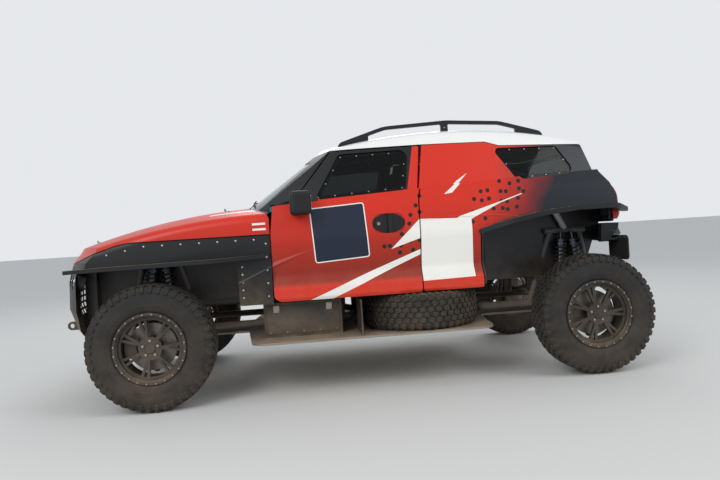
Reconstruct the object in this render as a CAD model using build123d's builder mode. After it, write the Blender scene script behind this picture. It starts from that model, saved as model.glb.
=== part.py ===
"""A two-seat rally-raid car: tube frame and cage, composite body panels that open, long-travel arms, and
two spare wheels lying flat under the cabin floor.

Frame: +Z up, nose towards -X, left side at -Y, origin on the ground under the middle of the car. Millimetres.
A station is a distance behind the front axle."""

import os
from math import cos, hypot, radians, sin

from build123d import *

WHEELBASE = 2900
TRACK = 1736
FRONT_OVERHANG = 710
REAR_OVERHANG = 410
LENGTH = FRONT_OVERHANG + WHEELBASE + REAR_OVERHANG
FRONT_AXLE_X = FRONT_OVERHANG - LENGTH / 2
TYRE_RADIUS = 399
TYRE_WIDTH = 240
DISC_RADIUS = 150
TOW_EYE_RADIUS = 16
RIM_RADIUS = 222
AXLE_Z = TYRE_RADIUS
KINGPIN_Y = 790
FLARE_Y = 995
LOWER_WALL = 45
UPPER_WALL = 28
TRAY_TOP = 372
GLASS_DEPTH = 8
GLASS_THICK = 5

SIDE = Plane(origin=(FRONT_AXLE_X, 0, 0), x_dir=(1, 0, 0), z_dir=(0, -1, 0))
PLAN = Plane(origin=(FRONT_AXLE_X, 0, 0), x_dir=(1, 0, 0), z_dir=(0, 0, 1))
CAR_MIDDLE = Plane.XZ
FAR = 6000


def at(station, y, z):
    """A point of the car's frame from a station, a side distance and a height."""
    return (FRONT_AXLE_X + station, y, z)


def section_plane(station):
    """The cross plane at a station: sketch x runs to the right side, sketch y up."""
    return Plane(origin=at(station, 0, 0), x_dir=(0, 1, 0), z_dir=(1, 0, 0))


def outline(rows):
    """A closed face whose rows are (across, up, corner radius)."""
    with BuildLine() as edge:
        FilletPolyline([(a, b) for a, b, r in rows], radius=[r for a, b, r in rows], close=True)
    make_face(edge.edges())


def both_sides(rows):
    """A half outline completed by its mirror image."""
    return rows + [(-a, b, r) for a, b, r in reversed(rows)]


def shrunk(rows, inset):
    """A closed outline, anticlockwise, moved inwards by inset with its corner radii to match."""
    points = [Vector(a, b) for a, b, r in rows]
    runs = [(points[(i + 1) % len(rows)] - points[i]).normalized() for i in range(len(rows))]
    moved = []
    for i, (a, b, r) in enumerate(rows):
        before, after = runs[i - 1], runs[i]
        shift = inset / (1 + before.dot(after))
        hollow = before.cross(after).Z < 0
        new_radius = r + inset if hollow else max(r - inset, 1)
        a, b = a - (before.Y + after.Y) * shift, b + (before.X + after.X) * shift
        moved.append((a, b, new_radius if r else 0))
    return moved


def side_prism(rows, inner=0, outer=1300):
    """Side outline (station, height, radius) as a block on the left side, from y = -inner to y = -outer."""
    with BuildPart() as prism:
        with BuildSketch(SIDE.offset(inner)):
            outline(rows)
        extrude(amount=outer - inner)
    return prism.part


def through_prism(rows):
    """Side outline (station, height, radius) as a block right across the car."""
    with BuildPart() as prism:
        with BuildSketch(SIDE):
            outline(rows)
        extrude(amount=1300, both=True)
    return prism.part


def pair(left):
    """A left piece and its mirror image, as separate solids of one piece."""
    with BuildPart() as both:
        add(left)
        mirror(about=CAR_MIDDLE)
    return both.part


def tube(start, end, radius):
    """A straight round tube between two points of the car's frame, added to the part in work."""
    run = Vector(*end) - Vector(*start)
    with BuildSketch(Plane(origin=start, z_dir=run)) as ring:
        Circle(radius)
    extrude(ring.sketch, amount=run.length)


def bent_tube(points, bend, radius):
    """A tube bent round the corners of a route, added to the part in work."""
    with BuildLine() as route:
        FilletPolyline(points, radius=bend)
    with BuildSketch(Plane(origin=route.line @ 0, z_dir=route.line % 0)) as ring:
        Circle(radius)
    sweep(ring.sketch, path=route.line)


def keep(name, part):
    """Names a finished piece and writes its file."""
    part.label = name
    export_step(part, os.path.join("parts", name + ".step"))
    return part


os.makedirs("parts", exist_ok=True)

# Body surfaces
# (half width, height, corner radius) of the cabin's cross-section, from the underside up to the belt
CABIN_SECTION = [
    (845, 300, 0),
    (864, 600, 15),
    (884, 640, 25),
    (882, 702, 25),
    (838, 778, 60),
    (868, 1000, 250),
    (838, 1290, 0),
    (826, 1450, 0),
]
# the same at the bonnet's rear edge, up to the bonnet's crown
BONNET_SECTION = [(840, 200, 0), (862, 1000, 300), (856, 1190, 60), (560, 1258, 1800)]
# the same for the glasshouse at the top of the roof's arch
ROOF_SECTION = [(861.5, 1100, 0), (612, 1706, 110), (350, 1750, 2200)]
BONNET_APEX, BONNET_ARCH = 800, 4100
ROOF_APEX, ROOF_ARCH = 2050, 4000
DOOR_FRONT = 775
# (station, height, radius) of the belt's side outline, from the door's front edge round the tail
BELT_SIDE = [
    (780, 250, 0),
    (780, 1250, 0),
    (1050, 1262, 900),
    (2450, 1345, 900),
    (3400, 1380, 0),
    (3400, 250, 0),
]
# (radius less the nose's plan radius, height) and the same for the tail
NOSE_PLAN, TAIL_PLAN = 1500, 2200
NOSE_TIP, TAIL_TIP = -700, 3310
NOSE_DROP = [(-150, 1100), (-95, 1010), (-42, 950), (-8, 820), (0, 640), (-45, 500), (-90, 430)]
TAIL_DROP = [
    (-150, 1420),
    (-118, 1350),
    (-52, 1275),
    (-12, 1190),
    (0, 1050),
    (-14, 960),
    (-80, 870),
    (-180, 600),
]
SCREEN_FOOT, SCREEN_TOP = (575, 1250), (1170, 1670)
HATCH_FOOT, HATCH_TOP = (3150, 1340), (3050, 1640)
GLASS_PLAN = 2600


def turned_limit(tip, plan_radius, drop, towards_rear, inset):
    """A block turned about an upright axis, whose outside is the nose's or the tail's end face."""
    centre = tip - plan_radius if towards_rear else tip + plan_radius
    with BuildPart() as limit:
        with BuildSketch(Plane(origin=at(centre, 0, 0), x_dir=(1, 0, 0), z_dir=(0, -1, 0))):
            with BuildLine():
                rim = [(plan_radius + d - inset, z) for d, z in drop]
                top = rim[0][1] + 400
                Polyline((0, top), (rim[0][0] - 100, top), *rim, (rim[-1][0], 100), (0, 100), close=True)
            make_face()
        revolve(axis=Axis(at(centre, 0, 0), (0, 0, 1)))
    return limit.part


def glass_limit(foot, top, towards_rear, inset):
    """A long round block whose skin is a raked screen through foot and top, (station, height) each."""
    run = hypot(top[0] - foot[0], top[1] - foot[1])
    slope = ((top[0] - foot[0]) / run, (top[1] - foot[1]) / run)
    out = (slope[1], -slope[0]) if towards_rear else (-slope[1], slope[0])
    centre = at(foot[0] - out[0] * GLASS_PLAN, 0, foot[1] - out[1] * GLASS_PLAN)
    with BuildPart() as limit:
        with BuildSketch(Plane(origin=centre, x_dir=(0, 1, 0), z_dir=(slope[0], 0, slope[1]))):
            Circle(GLASS_PLAN - inset)
        extrude(amount=FAR, both=True)
    return limit.part


def arched(rows, apex, arch, height, front_angle, rear_angle, inset):
    """A cross-section swung fore and aft about an axis far below the car, so that it falls away in an arch."""
    axis_at = at(apex, 0, height - arch)
    with BuildPart() as block:
        for direction, angle in ((-1, front_angle), (1, rear_angle)):
            if angle:
                with BuildSketch(section_plane(apex)):
                    outline(shrunk(both_sides(rows), inset))
                revolve(axis=Axis(axis_at, (0, direction, 0)), revolution_arc=angle)
    return block.part


def lower_body(inset):
    """The body up to the belt and bonnet, filled in."""
    with BuildPart() as cabin:
        with BuildSketch(section_plane(DOOR_FRONT + 5)):
            outline(shrunk(both_sides(CABIN_SECTION), inset))
        extrude(amount=2700)
        with BuildSketch(SIDE):
            outline([(s, z - (inset if z > 1000 else 0), r) for s, z, r in BELT_SIDE])
        extrude(amount=1300, both=True, mode=Mode.INTERSECT)
        add(turned_limit(TAIL_TIP, TAIL_PLAN, TAIL_DROP, True, inset), mode=Mode.INTERSECT)
    with BuildPart() as front:
        add(arched(BONNET_SECTION, BONNET_APEX, BONNET_ARCH, 1258, 30, 0, inset))
        with Locations(at(DOOR_FRONT + 5, 0, 0)):
            Box(2000, 3000, 4000, align=(Align.MAX, Align.CENTER, Align.CENTER), mode=Mode.INTERSECT)
        add(turned_limit(NOSE_TIP, NOSE_PLAN, NOSE_DROP, False, inset), mode=Mode.INTERSECT)
    with BuildPart() as body:
        add(cabin.part)
        add(front.part)
    return body.part


def glasshouse(inset):
    """The cabin above the belt, filled in."""
    with BuildPart() as house:
        add(arched(ROOF_SECTION, ROOF_APEX, ROOF_ARCH, 1750, 28, 28, inset))
        add(glass_limit(SCREEN_FOOT, SCREEN_TOP, False, inset), mode=Mode.INTERSECT)
        add(glass_limit(HATCH_FOOT, HATCH_TOP, True, inset), mode=Mode.INTERSECT)
    return house.part


def whole_shell():
    """Every outside wall of the body in one piece, before it is cut into panels."""
    with BuildPart() as shell:
        add(lower_body(0))
        add(glasshouse(0))
        add(lower_body(LOWER_WALL), mode=Mode.SUBTRACT)
        add(glasshouse(UPPER_WALL), mode=Mode.SUBTRACT)
    return shell.part


def panel(region, *cuts):
    """The part of the body's wall inside a region, less its cut-outs."""
    with BuildPart() as piece:
        add(BODY_SHELL)
        add(region, mode=Mode.INTERSECT)
        for cut in cuts:
            add(cut, mode=Mode.SUBTRACT)
    return piece.part


def pane(opening):
    """A sheet of glass set a little into the glasshouse wall, filling an opening."""
    with BuildPart() as glass:
        add(glasshouse(GLASS_DEPTH))
        add(opening, mode=Mode.INTERSECT)
        add(glasshouse(GLASS_DEPTH + GLASS_THICK), mode=Mode.SUBTRACT)
    return glass.part


BODY_SHELL = whole_shell()

# Panel outlines, seen from the left: (station, height, corner radius)
DOOR_SIDE = [
    (778, 620, 55),
    (1745, 620, 18),
    (1757, 1228, 200),
    (1820, 1608, 12),
    (1212, 1600, 30),
    (945, 1275, 60),
    (800, 1240, 20),
    (778, 1060, 0),
]
DOOR_WINDOW = [(1075, 1264, 30), (1690, 1302, 40), (1742, 1588, 60), (1262, 1578, 40)]
QUARTER_SIDE = [
    (1753, 624, 18),
    (2160, 624, 8),
    (2160, 1008, 0),
    (2330, 1063, 300),
    (2540, 1103, 300),
    (2800, 1128, 0),
    (3080, 1128, 200),
    (3215, 1094, 0),
    (3215, 1000, 0),
    (3420, 1000, 0),
    (3420, 1556, 0),
    (2388, 1579, 60),
    (2288, 1611, 60),
    (1842, 1612, 10),
    (1766, 1228, 200),
]
QUARTER_WINDOW = [(2475, 1326, 40), (2916, 1356, 50), (2805, 1562, 40), (2330, 1565, 30)]
# the roof's lower edge steps down behind the doors
ROOF_SIDE = [
    (700, 1602, 0),
    (1212, 1611, 0),
    (1832, 1618, 0),
    (2290, 1616, 60),
    (2390, 1584, 60),
    (3420, 1560, 0),
    (3420, 1900, 0),
    (700, 1900, 0),
]
SCREEN_SIDE = [
    (400, 1195, 0),
    (770, 1195, 0),
    (772, 1243, 0),
    (796, 1247, 20),
    (941, 1282, 60),
    (1205, 1607, 0),
    (700, 1598, 0),
]
BONNET_SIDE = [
    (-900, 928, 0),
    (-560, 938, 0),
    (-150, 1062, 500),
    (772, 1062, 0),
    (772, 1500, 0),
    (-900, 1500, 0),
]
FENDER_SIDE = [
    (-520, 885, 0),
    (520, 895, 50),
    (556, 850, 30),
    (556, 610, 15),
    (772, 610, 0),
    (772, 1056, 0),
    (-150, 1056, 500),
    (-520, 944, 0),
]
SHELF_SIDE = [
    (-520, 885, 0),
    (-300, 893, 300),
    (420, 900, 300),
    (770, 912, 0),
    (770, 936, 0),
    (420, 924, 300),
    (-300, 917, 300),
    (-520, 909, 0),
]
SHELF_PLAN = [
    (-520, -780, 0),
    (770, -780, 0),
    (770, -872, 30),
    (430, -985, 200),
    (-330, -985, 160),
    (-520, -880, 30),
]
BUMPER_SIDE = [
    (-900, 425, 0),
    (-520, 425, 0),
    (-480, 600, 0),
    (-480, 878, 0),
    (-526, 878, 0),
    (-526, 938, 0),
    (-566, 931, 0),
    (-900, 922, 0),
]
# outlines seen from behind or in front: (across, height, corner radius)
TAILGATE_END = [
    (-640, 1004, 40),
    (640, 1004, 40),
    (632, 1345, 30),
    (566, 1564, 40),
    (-566, 1564, 40),
    (-632, 1345, 30),
]
HATCH_WINDOW = [(-560, 1395, 40), (560, 1395, 40), (515, 1530, 50), (-515, 1530, 50)]
WINDSCREEN_OPENING = [(-715, 45, 70), (715, 45, 70), (530, 575, 60), (-530, 575, 60)]
BONNET_REAR_PLAN = 1577


def end_prism(rows, front, rear):
    """An outline seen from behind, (across, height, corner radius), as a block between two stations."""
    with BuildPart() as prism:
        with BuildSketch(section_plane(front)):
            outline(rows)
        extrude(amount=rear - front)
    return prism.part


def bonnet_end(gap):
    """An upright round block whose front edge is where the bonnet stops, moved back by a gap."""
    with BuildPart() as block:
        with Locations(at(520 + BONNET_REAR_PLAN, 0, 1500)):
            Cylinder(BONNET_REAR_PLAN - gap, 1000)
    return block.part


def tow_eye(root, tip, y, z, across):
    """A towing plate with a round eye, from a root station to its tip station, its eye's axis along across."""
    way = 1 if tip > root else -1
    with BuildPart() as eye:
        with BuildSketch(Plane(origin=at(tip - way * 30, y, z), x_dir=(1, 0, 0), z_dir=across)):
            Circle(30)
            with Locations((-way * (abs(tip - root) - 30) / 2, 0)):
                Rectangle(abs(tip - root) - 30, 60)
            Circle(TOW_EYE_RADIUS, mode=Mode.SUBTRACT)
        extrude(amount=7, both=True)
    return eye.part


# Roof: a white composite panel from the screen's top edge to the tailgate
roof_panel = keep("roof_panel", panel(through_prism(ROOF_SIDE)))

# Windscreen frame: the black screen pillars, header and scuttle
with BuildPart() as screen_cut:
    run = Vector(SCREEN_TOP[0] - SCREEN_FOOT[0], 0, SCREEN_TOP[1] - SCREEN_FOOT[1]).normalized()
    screen_plane = Plane(origin=at(SCREEN_FOOT[0], 0, SCREEN_FOOT[1]), x_dir=(0, -1, 0), z_dir=(-run.Z, 0, run.X))
    with BuildSketch(screen_plane):
        outline(WINDSCREEN_OPENING)
    extrude(amount=320, both=True)
screen_frame_region = through_prism(SCREEN_SIDE) & bonnet_end(6)
windscreen_frame = keep("windscreen_frame", panel(screen_frame_region, screen_cut.part))

# Side panels: the wall behind the doors, round the tail's corners to the tailgate
quarter_cut = side_prism(QUARTER_WINDOW, 300)
TAILGATE_GAP_END = [(a * 1.01, b - 8 if b < 1100 else b + 8, r) for a, b, r in TAILGATE_END]
tailgate_hole = end_prism(TAILGATE_GAP_END, 2700, 3500)
LAMP_STRIP = [(-798, 1020, 0), (-672, 1020, 0), (-664, 1274, 0), (-794, 1274, 0)]
strip_hole = end_prism(LAMP_STRIP, 3000, 3500)
side_wall = panel(side_prism(QUARTER_SIDE, 20), quarter_cut, tailgate_hole, strip_hole)
side_panels = keep("side_panels", pair(side_wall))

# Fixed glass: the windscreen and the two quarter windows
with BuildPart() as fixed_glass:
    add(pane(screen_cut.part))
    add(pair(pane(quarter_cut)))
keep("fixed_glass", fixed_glass.part)

# Bonnet: one front-hinged shell over the whole nose, with two rows of slots that let the radiator's air out
# (station, half length) of the slots, which lengthen towards the screen
BONNET_SLOTS = [(-40, 95), (20, 105), (80, 115), (140, 125)]
BONNET_SLOT_Y, BONNET_SLOT_WIDTH = 330, 26
with BuildPart() as slots:
    for station, half in BONNET_SLOTS:
        for side in (-1, 1):
            with Locations(at(station, side * BONNET_SLOT_Y, 1250)):
                Box(BONNET_SLOT_WIDTH, 2 * half, 300)
bonnet = keep("bonnet", panel(through_prism(BONNET_SIDE), bonnet_end(0), slots.part))

# Front fenders: black panels behind the wheels and the bands above them, with the shelf over each wheel
with BuildPart() as fender:
    add(side_prism(SHELF_SIDE, 780, 1000))
    with BuildSketch(PLAN.offset(800)):
        outline(SHELF_PLAN)
    extrude(amount=200, mode=Mode.INTERSECT)
    add(lower_body(30), mode=Mode.SUBTRACT)
    add(panel(side_prism(FENDER_SIDE, 500)))
front_fenders = keep("front_fenders", pair(fender.part))

# Front bumper: the nose below the bonnet, open for the radiator and the lamps
GRILLE_END = [(-420, 560, 60), (420, 560, 60), (370, 850, 60), (-370, 850, 60)]
LAMP_END = [(-730, 765, 40), (-470, 765, 40), (-500, 885, 40), (-730, 885, 40)]
lamp_hole = end_prism(LAMP_END, -900, -300)
with BuildPart() as nose:
    add(panel(through_prism(BUMPER_SIDE)))
    add(end_prism(GRILLE_END, -900, -450), mode=Mode.SUBTRACT)
    add(pair(lamp_hole), mode=Mode.SUBTRACT)
    for side in (-1, 1):
        add(tow_eye(-640, -710, side * 280, 500, (0, 1, 0)))
front_bumper = keep("front_bumper", nose.part)

# Grille: a thin panel just inside the bumper's opening, pierced in columns and rows between its bars
GRILLE_HOLE = (66, 30)
GRILLE_PITCH = (80, 44)
with BuildPart() as mesh:
    add(lower_body(LOWER_WALL))
    add(end_prism([(a * 1.06, b, r) for a, b, r in GRILLE_END], -900, -450), mode=Mode.INTERSECT)
    add(lower_body(LOWER_WALL + 8), mode=Mode.SUBTRACT)
    with BuildSketch(section_plane(-900)) as holes:
        with Locations((0, 702)):
            with GridLocations(*GRILLE_PITCH, 9, 6):
                Rectangle(*GRILLE_HOLE)
    extrude(holes.sketch, amount=500, mode=Mode.SUBTRACT)
grille = keep("grille", mesh.part)

# Headlamps: one block each, flush with the nose, with two round bowls sunk in its face
LAMP_BOWLS = [(-655, 48), (-548, 40)]
with BuildPart() as lamp:
    add(lower_body(6))
    add(lamp_hole, mode=Mode.INTERSECT)
    add(lower_body(60), mode=Mode.SUBTRACT)
    for y, radius in LAMP_BOWLS:
        with BuildSketch(section_plane(-900)) as bowl:
            with Locations((y, 825)):
                Circle(radius)
        extrude(bowl.sketch, amount=400, mode=Mode.SUBTRACT)
    add(lower_body(34) & lamp_hole)
    add(lower_body(60), mode=Mode.SUBTRACT)
headlamps = keep("headlamps", pair(lamp.part))

# Rear flares: a wing over each rear wheel
FLARE_SIDE = [
    (2150, 975, 10),
    (2335, 1030, 300),
    (2545, 1070, 300),
    (2800, 1095, 0),
    (3075, 1095, 150),
    (3196, 1066, 10),
    (3203, 1094, 10),
    (3080, 1126, 200),
    (2800, 1126, 0),
    (2540, 1101, 300),
    (2330, 1061, 300),
    (2150, 1006, 10),
]
FLARE_PLAN = [
    (2150, -780, 0),
    (3203, -780, 0),
    (3203, -860, 40),
    (3060, -FLARE_Y, 160),
    (2360, -FLARE_Y, 200),
    (2150, -872, 20),
]
with BuildPart() as flare:
    add(side_prism(FLARE_SIDE, 780, 1000))
    with BuildSketch(PLAN.offset(900)):
        outline(FLARE_PLAN)
    extrude(amount=300, mode=Mode.INTERSECT)
    add(lower_body(LOWER_WALL), mode=Mode.SUBTRACT)
    add(side_panels, mode=Mode.SUBTRACT)
    add(strip_hole, mode=Mode.SUBTRACT)
rear_flares = keep("rear_flares", pair(flare.part))

# Rear bumper: the band below the tail
with BuildPart() as tail_band:
    add(panel(end_prism([(-900, 870, 0), (900, 870, 0), (900, 994, 0), (-900, 994, 0)], 3000, 3500)))
    add(rear_flares, mode=Mode.SUBTRACT)
rear_bumper = keep("rear_bumper", tail_band.part)

# Tail lamps: an upright strip let into each rear corner
with BuildPart() as strip:
    add(lower_body(4))
    add(strip_hole, mode=Mode.INTERSECT)
    add(lower_body(34), mode=Mode.SUBTRACT)
tail_lamps = keep("tail_lamps", pair(strip.part))

# Tailgate: the whole tail between the lamps, hinged at the roof
with BuildPart() as hatch_cut:
    with BuildSketch(section_plane(2700)):
        outline(HATCH_WINDOW)
    extrude(amount=800)
tailgate = keep("tailgate", panel(end_prism(TAILGATE_END, 2800, 3500), hatch_cut.part))
tailgate_glass = keep("tailgate_glass", pane(hatch_cut.part))

# Doors: one each side, hinged in front, each with a fixed pane and a mirror
# the handle is a bar across an oval bowl sunk in the skin
HANDLE_BOWL = [(1442, 1020, 60), (1659, 1020, 60), (1659, 1150, 60), (1442, 1150, 60)]
BOWL_FLOOR_Y, HANDLE_STATION = 843, 1560
door_cut = side_prism(DOOR_WINDOW, 300)
with BuildPart() as door_skin:
    add(panel(side_prism(DOOR_SIDE, 300), door_cut))
    add(side_prism(HANDLE_BOWL, BOWL_FLOOR_Y), mode=Mode.SUBTRACT)
    with Locations(at(HANDLE_STATION, -BOWL_FLOOR_Y - 14, 1085)):
        Box(26, 12, 134)
door_left = keep("door_left", door_skin.part)
door_right = keep("door_right", mirror(door_left, about=CAR_MIDDLE))
door_glass_left = keep("door_glass_left", pane(door_cut))
door_glass_right = keep("door_glass_right", mirror(door_glass_left, about=CAR_MIDDLE))
with BuildPart() as looking_glass:
    with Locations(at(980, -905, 1246)):
        Box(134, 170, 152)
    fillet(looking_glass.edges(), 26)
    with Locations(at(960, -830, 1222)):
        Box(50, 150, 34)
    add(lower_body(0), mode=Mode.SUBTRACT)
    add(glasshouse(0), mode=Mode.SUBTRACT)
mirror_left = keep("mirror_left", looking_glass.part.solids().sort_by(Axis.Y)[0])
mirror_right = keep("mirror_right", mirror(mirror_left, about=CAR_MIDDLE))

# Roof rails: a bar along each side of the roof, open between its feet
ROOF_RAIL_Y = 520
ROOF_RAIL_SIDE = [
    (1270, 1600, 0),
    (2760, 1600, 0),
    (2760, 1685, 50),
    (2440, 1774, 300),
    (2050, 1796, 500),
    (1600, 1772, 300),
    (1270, 1668, 50),
]
ROOF_RAIL_GAPS = [
    [(1490, 1600, 0), (2015, 1600, 0), (2015, 1770, 10), (1610, 1749, 200), (1490, 1712, 10)],
    [(2065, 1600, 0), (2560, 1600, 0), (2560, 1716, 10), (2435, 1750, 200), (2065, 1770, 10)],
]
with BuildPart() as rail:
    with BuildSketch(SIDE.offset(ROOF_RAIL_Y - 13)):
        outline(ROOF_RAIL_SIDE)
    extrude(amount=26)
    for gap in ROOF_RAIL_GAPS:
        with BuildSketch(SIDE.offset(ROOF_RAIL_Y - 20)) as hole:
            outline(gap)
        extrude(hole.sketch, amount=40, mode=Mode.SUBTRACT)
    add(glasshouse(0), mode=Mode.SUBTRACT)
roof_rails = keep("roof_rails", pair(rail.part))

# Long rails: two bent steel tubes from nose to tail, pinched in between the spare wheels
RAIL_Y, RAIL_Z, RAIL_TUBE = 350, 432, 25
RAIL_ROUTE = [
    (-500, -300, 500),
    (-380, -RAIL_Y, RAIL_Z),
    (1280, -RAIL_Y, RAIL_Z),
    (1370, -108, RAIL_Z),
    (2195, -108, RAIL_Z),
    (2285, -RAIL_Y, RAIL_Z),
    (3100, -RAIL_Y, RAIL_Z),
    (3170, -330, 520),
]
with BuildPart() as rail_side:
    bent_tube([at(*point) for point in RAIL_ROUTE], 40, RAIL_TUBE)
long_rails = keep("long_rails", pair(rail_side.part))

# Cross tubes: steel tubes between the rails, posts up to the cabin floor, the rack's housing, the rear eyes
RACK_STATION, RACK_Z, RACK_END = 158, 478, 698
# (station, half length, height, radius)
CROSS_TUBES = [
    (-500, 300, 500, 25),
    (-330, 350, 432, 20),
    (700, 350, 432, 20),
    (1240, 350, 432, 20),
    (2330, 350, 432, 20),
    (3170, 330, 520, 25),
]
with BuildPart() as cross_set:
    for station, half, z, radius in CROSS_TUBES:
        tube(at(station, -half, z), at(station, half, z), radius)
    tube(at(RACK_STATION, -240, RACK_Z), at(RACK_STATION, 240, RACK_Z), 25)
    for side in (-1, 1):
        tube(at(RACK_STATION, side * 225, RACK_Z), at(RACK_STATION, side * 340, RAIL_Z + 5), 12)
        for station, y in ((700, RAIL_Y), (1240, RAIL_Y), (2240, 240)):
            tube(at(station, side * y, RAIL_Z), at(station, side * y, 636), 20)
        add(tow_eye(3180, 3310, side * 220, 520, (0, 0, 1)))
    with Locations(at(RACK_STATION, 0, RACK_Z)):
        Cylinder(12.1, 600, rotation=(90, 0, 0), mode=Mode.SUBTRACT)
    add(long_rails, mode=Mode.SUBTRACT)
cross_tubes = keep("cross_tubes", cross_set.part)

# Damper towers: a steel trestle over each axle's end that carries the dampers' heads
TOWER_Y, TOWER_TOP = 490, 960
with BuildPart() as tower_side:
    for station in (0, WHEELBASE):
        for way in (-1, 1):
            tube(at(station + way * 250, -RAIL_Y, RAIL_Z), at(station + way * 110, -TOWER_Y, TOWER_TOP), 20)
        tube(at(station - 150, -TOWER_Y, TOWER_TOP), at(station + 150, -TOWER_Y, TOWER_TOP), 20)
    add(long_rails, mode=Mode.SUBTRACT)
damper_towers = keep("damper_towers", pair(tower_side.part))


def clear_of_frame():
    """Cuts the lower frame's tubes out of the part in work."""
    for tubes in (long_rails, cross_tubes, damper_towers):
        add(tubes, mode=Mode.SUBTRACT)


# Roll cage: bent tubes inside the glasshouse, on base tubes at floor height
CAGE_TUBE = 22
CAGE_BEND = 120
# bent tubes: (station, y, height) of each corner
CAGE_ROUTES = [
    [(730, -715, 690), (830, -690, 1180), (1290, -545, 1575), (1905, -545, 1640)],
    [(1905, -735, 690), (1905, -735, 1150), (1905, -545, 1640), (1905, -10, 1655)],
    [(1905, -545, 1625), (2700, -525, 1330), (2900, -492, 975)],
]
CAGE_MIDDLE_NODES = [(730, 690), (1905, 690), (1905, 1655), (1290, 1590), (830, 1180), (1905, 900)]
with BuildPart() as cage_side:
    for route in CAGE_ROUTES:
        bent_tube([at(*point) for point in route], CAGE_BEND, CAGE_TUBE)
    tube(at(730, -735, 690), at(1905, -735, 690), CAGE_TUBE)
    tube(at(790, -712, 900), at(1905, -735, 1010), CAGE_TUBE - 4)
    tube(at(1290, -545, 1573), at(1290, -10, 1590), CAGE_TUBE)
    tube(at(830, -690, 1180), at(830, -10, 1180), CAGE_TUBE - 4)
    tube(at(1905, -735, 900), at(1905, -10, 900), CAGE_TUBE - 4)
    tube(at(730, -735, 690), at(730, -10, 690), CAGE_TUBE)
    tube(at(1905, -735, 690), at(1905, -10, 690), CAGE_TUBE)
    tube(at(1905, -735, 900), at(1905, -10, 1655), CAGE_TUBE - 4)
with BuildPart() as cage:
    add(cage_side.part)
    mirror(about=CAR_MIDDLE)
    for station, z in CAGE_MIDDLE_NODES:
        with Locations(at(station, 0, z)):
            Sphere(CAGE_TUBE + 2)
    with Locations(at(730, -725, 690), at(730, 725, 690), at(1905, -735, 690), at(1905, 735, 690)):
        Sphere(CAGE_TUBE + 12)
    clear_of_frame()
roll_cage = keep("roll_cage", cage.part)

# Underbody tray: a flat skid over the whole floor with a rising nose
TRAY_PLAN = [
    (-548, -300, 60),
    (560, -300, 0),
    (620, -900, 120),
    (700, -950, 60),
    (2200, -950, 120),
    (2270, -330, 80),
    (3100, -330, 60),
]
TRAY_SIDE = [
    (-620, 450, 0),
    (-380, TRAY_TOP - 14, 200),
    (2900, TRAY_TOP - 14, 200),
    (3110, 450, 0),
    (3110, 464, 0),
    (2900, TRAY_TOP, 200),
    (-380, TRAY_TOP, 200),
    (-620, 464, 0),
]
with BuildPart() as skid:
    with BuildSketch(PLAN.offset(300)):
        outline(TRAY_PLAN + [(a, -b, r) for a, b, r in reversed(TRAY_PLAN)])
    extrude(amount=300)
    with BuildSketch(SIDE):
        outline(TRAY_SIDE)
    extrude(amount=1000, both=True, mode=Mode.INTERSECT)
    add(front_bumper, mode=Mode.SUBTRACT)
    clear_of_frame()
underbody_tray = keep("underbody_tray", skid.part)

# Cabin tub: floor, firewall, rear bulkhead and load floor, all inside the body's walls
TUB_SKIN = 14
with BuildPart() as tub:
    with Locations(at(1442, 0, 640 + TUB_SKIN / 2)):
        Box(1510, 1600, TUB_SKIN)
    with Locations(at(694, 0, 930)):
        Box(TUB_SKIN, 1640, 600)
    with Locations(at(2190, 0, 940)):
        Box(TUB_SKIN, 1640, 600)
    with Locations(at(2640, 0, 740)):
        Box(900, 902, TUB_SKIN)
    add(lower_body(LOWER_WALL + 10), mode=Mode.INTERSECT)
    add(roll_cage, mode=Mode.SUBTRACT)
    clear_of_frame()
cabin_tub = keep("cabin_tub", tub.part.solids().sort_by(SortBy.VOLUME)[-1])

# Inner arches: upright sheets between each wheel and the engine bay or load floor
with BuildPart() as sheets:
    with Locations(at(60, -440, 900)):
        Box(960, 8, 520)
    with Locations(at(2740, -455, 940)):
        Box(880, 8, 620)
    add(lower_body(LOWER_WALL + 10), mode=Mode.INTERSECT)
    add(roll_cage, mode=Mode.SUBTRACT)
    clear_of_frame()
inner_arches = keep("inner_arches", pair(sheets.part))

# Engine block: one plain block at its real place, with its gearbox tail
with BuildPart() as engine:
    with Locations(at(330, 0, 790)):
        Box(600, 420, 460)
    fillet(engine.edges(), 25)
    with Locations(at(-10, 0, 505), at(2900, 0, 530)):
        Box(150, 290, 130)
engine_block = keep("engine_block", engine.part)

# Radiator: a flat core standing behind the grille
with BuildPart() as core:
    with Locations(at(-480, 0, 740)):
        Box(60, 760, 380)
radiator = keep("radiator", core.part)

# Dashboard: a moulded panel across the cabin below the screen
DASH_SIDE = [(712, 1020, 0), (860, 960, 30), (915, 1010, 20), (930, 1120, 30), (880, 1160, 30), (712, 1150, 0)]
with BuildPart() as dash:
    with BuildSketch(SIDE):
        outline(DASH_SIDE)
    extrude(amount=640, both=True)
    add(roll_cage, mode=Mode.SUBTRACT)
dashboard = keep("dashboard", dash.part)

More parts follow.
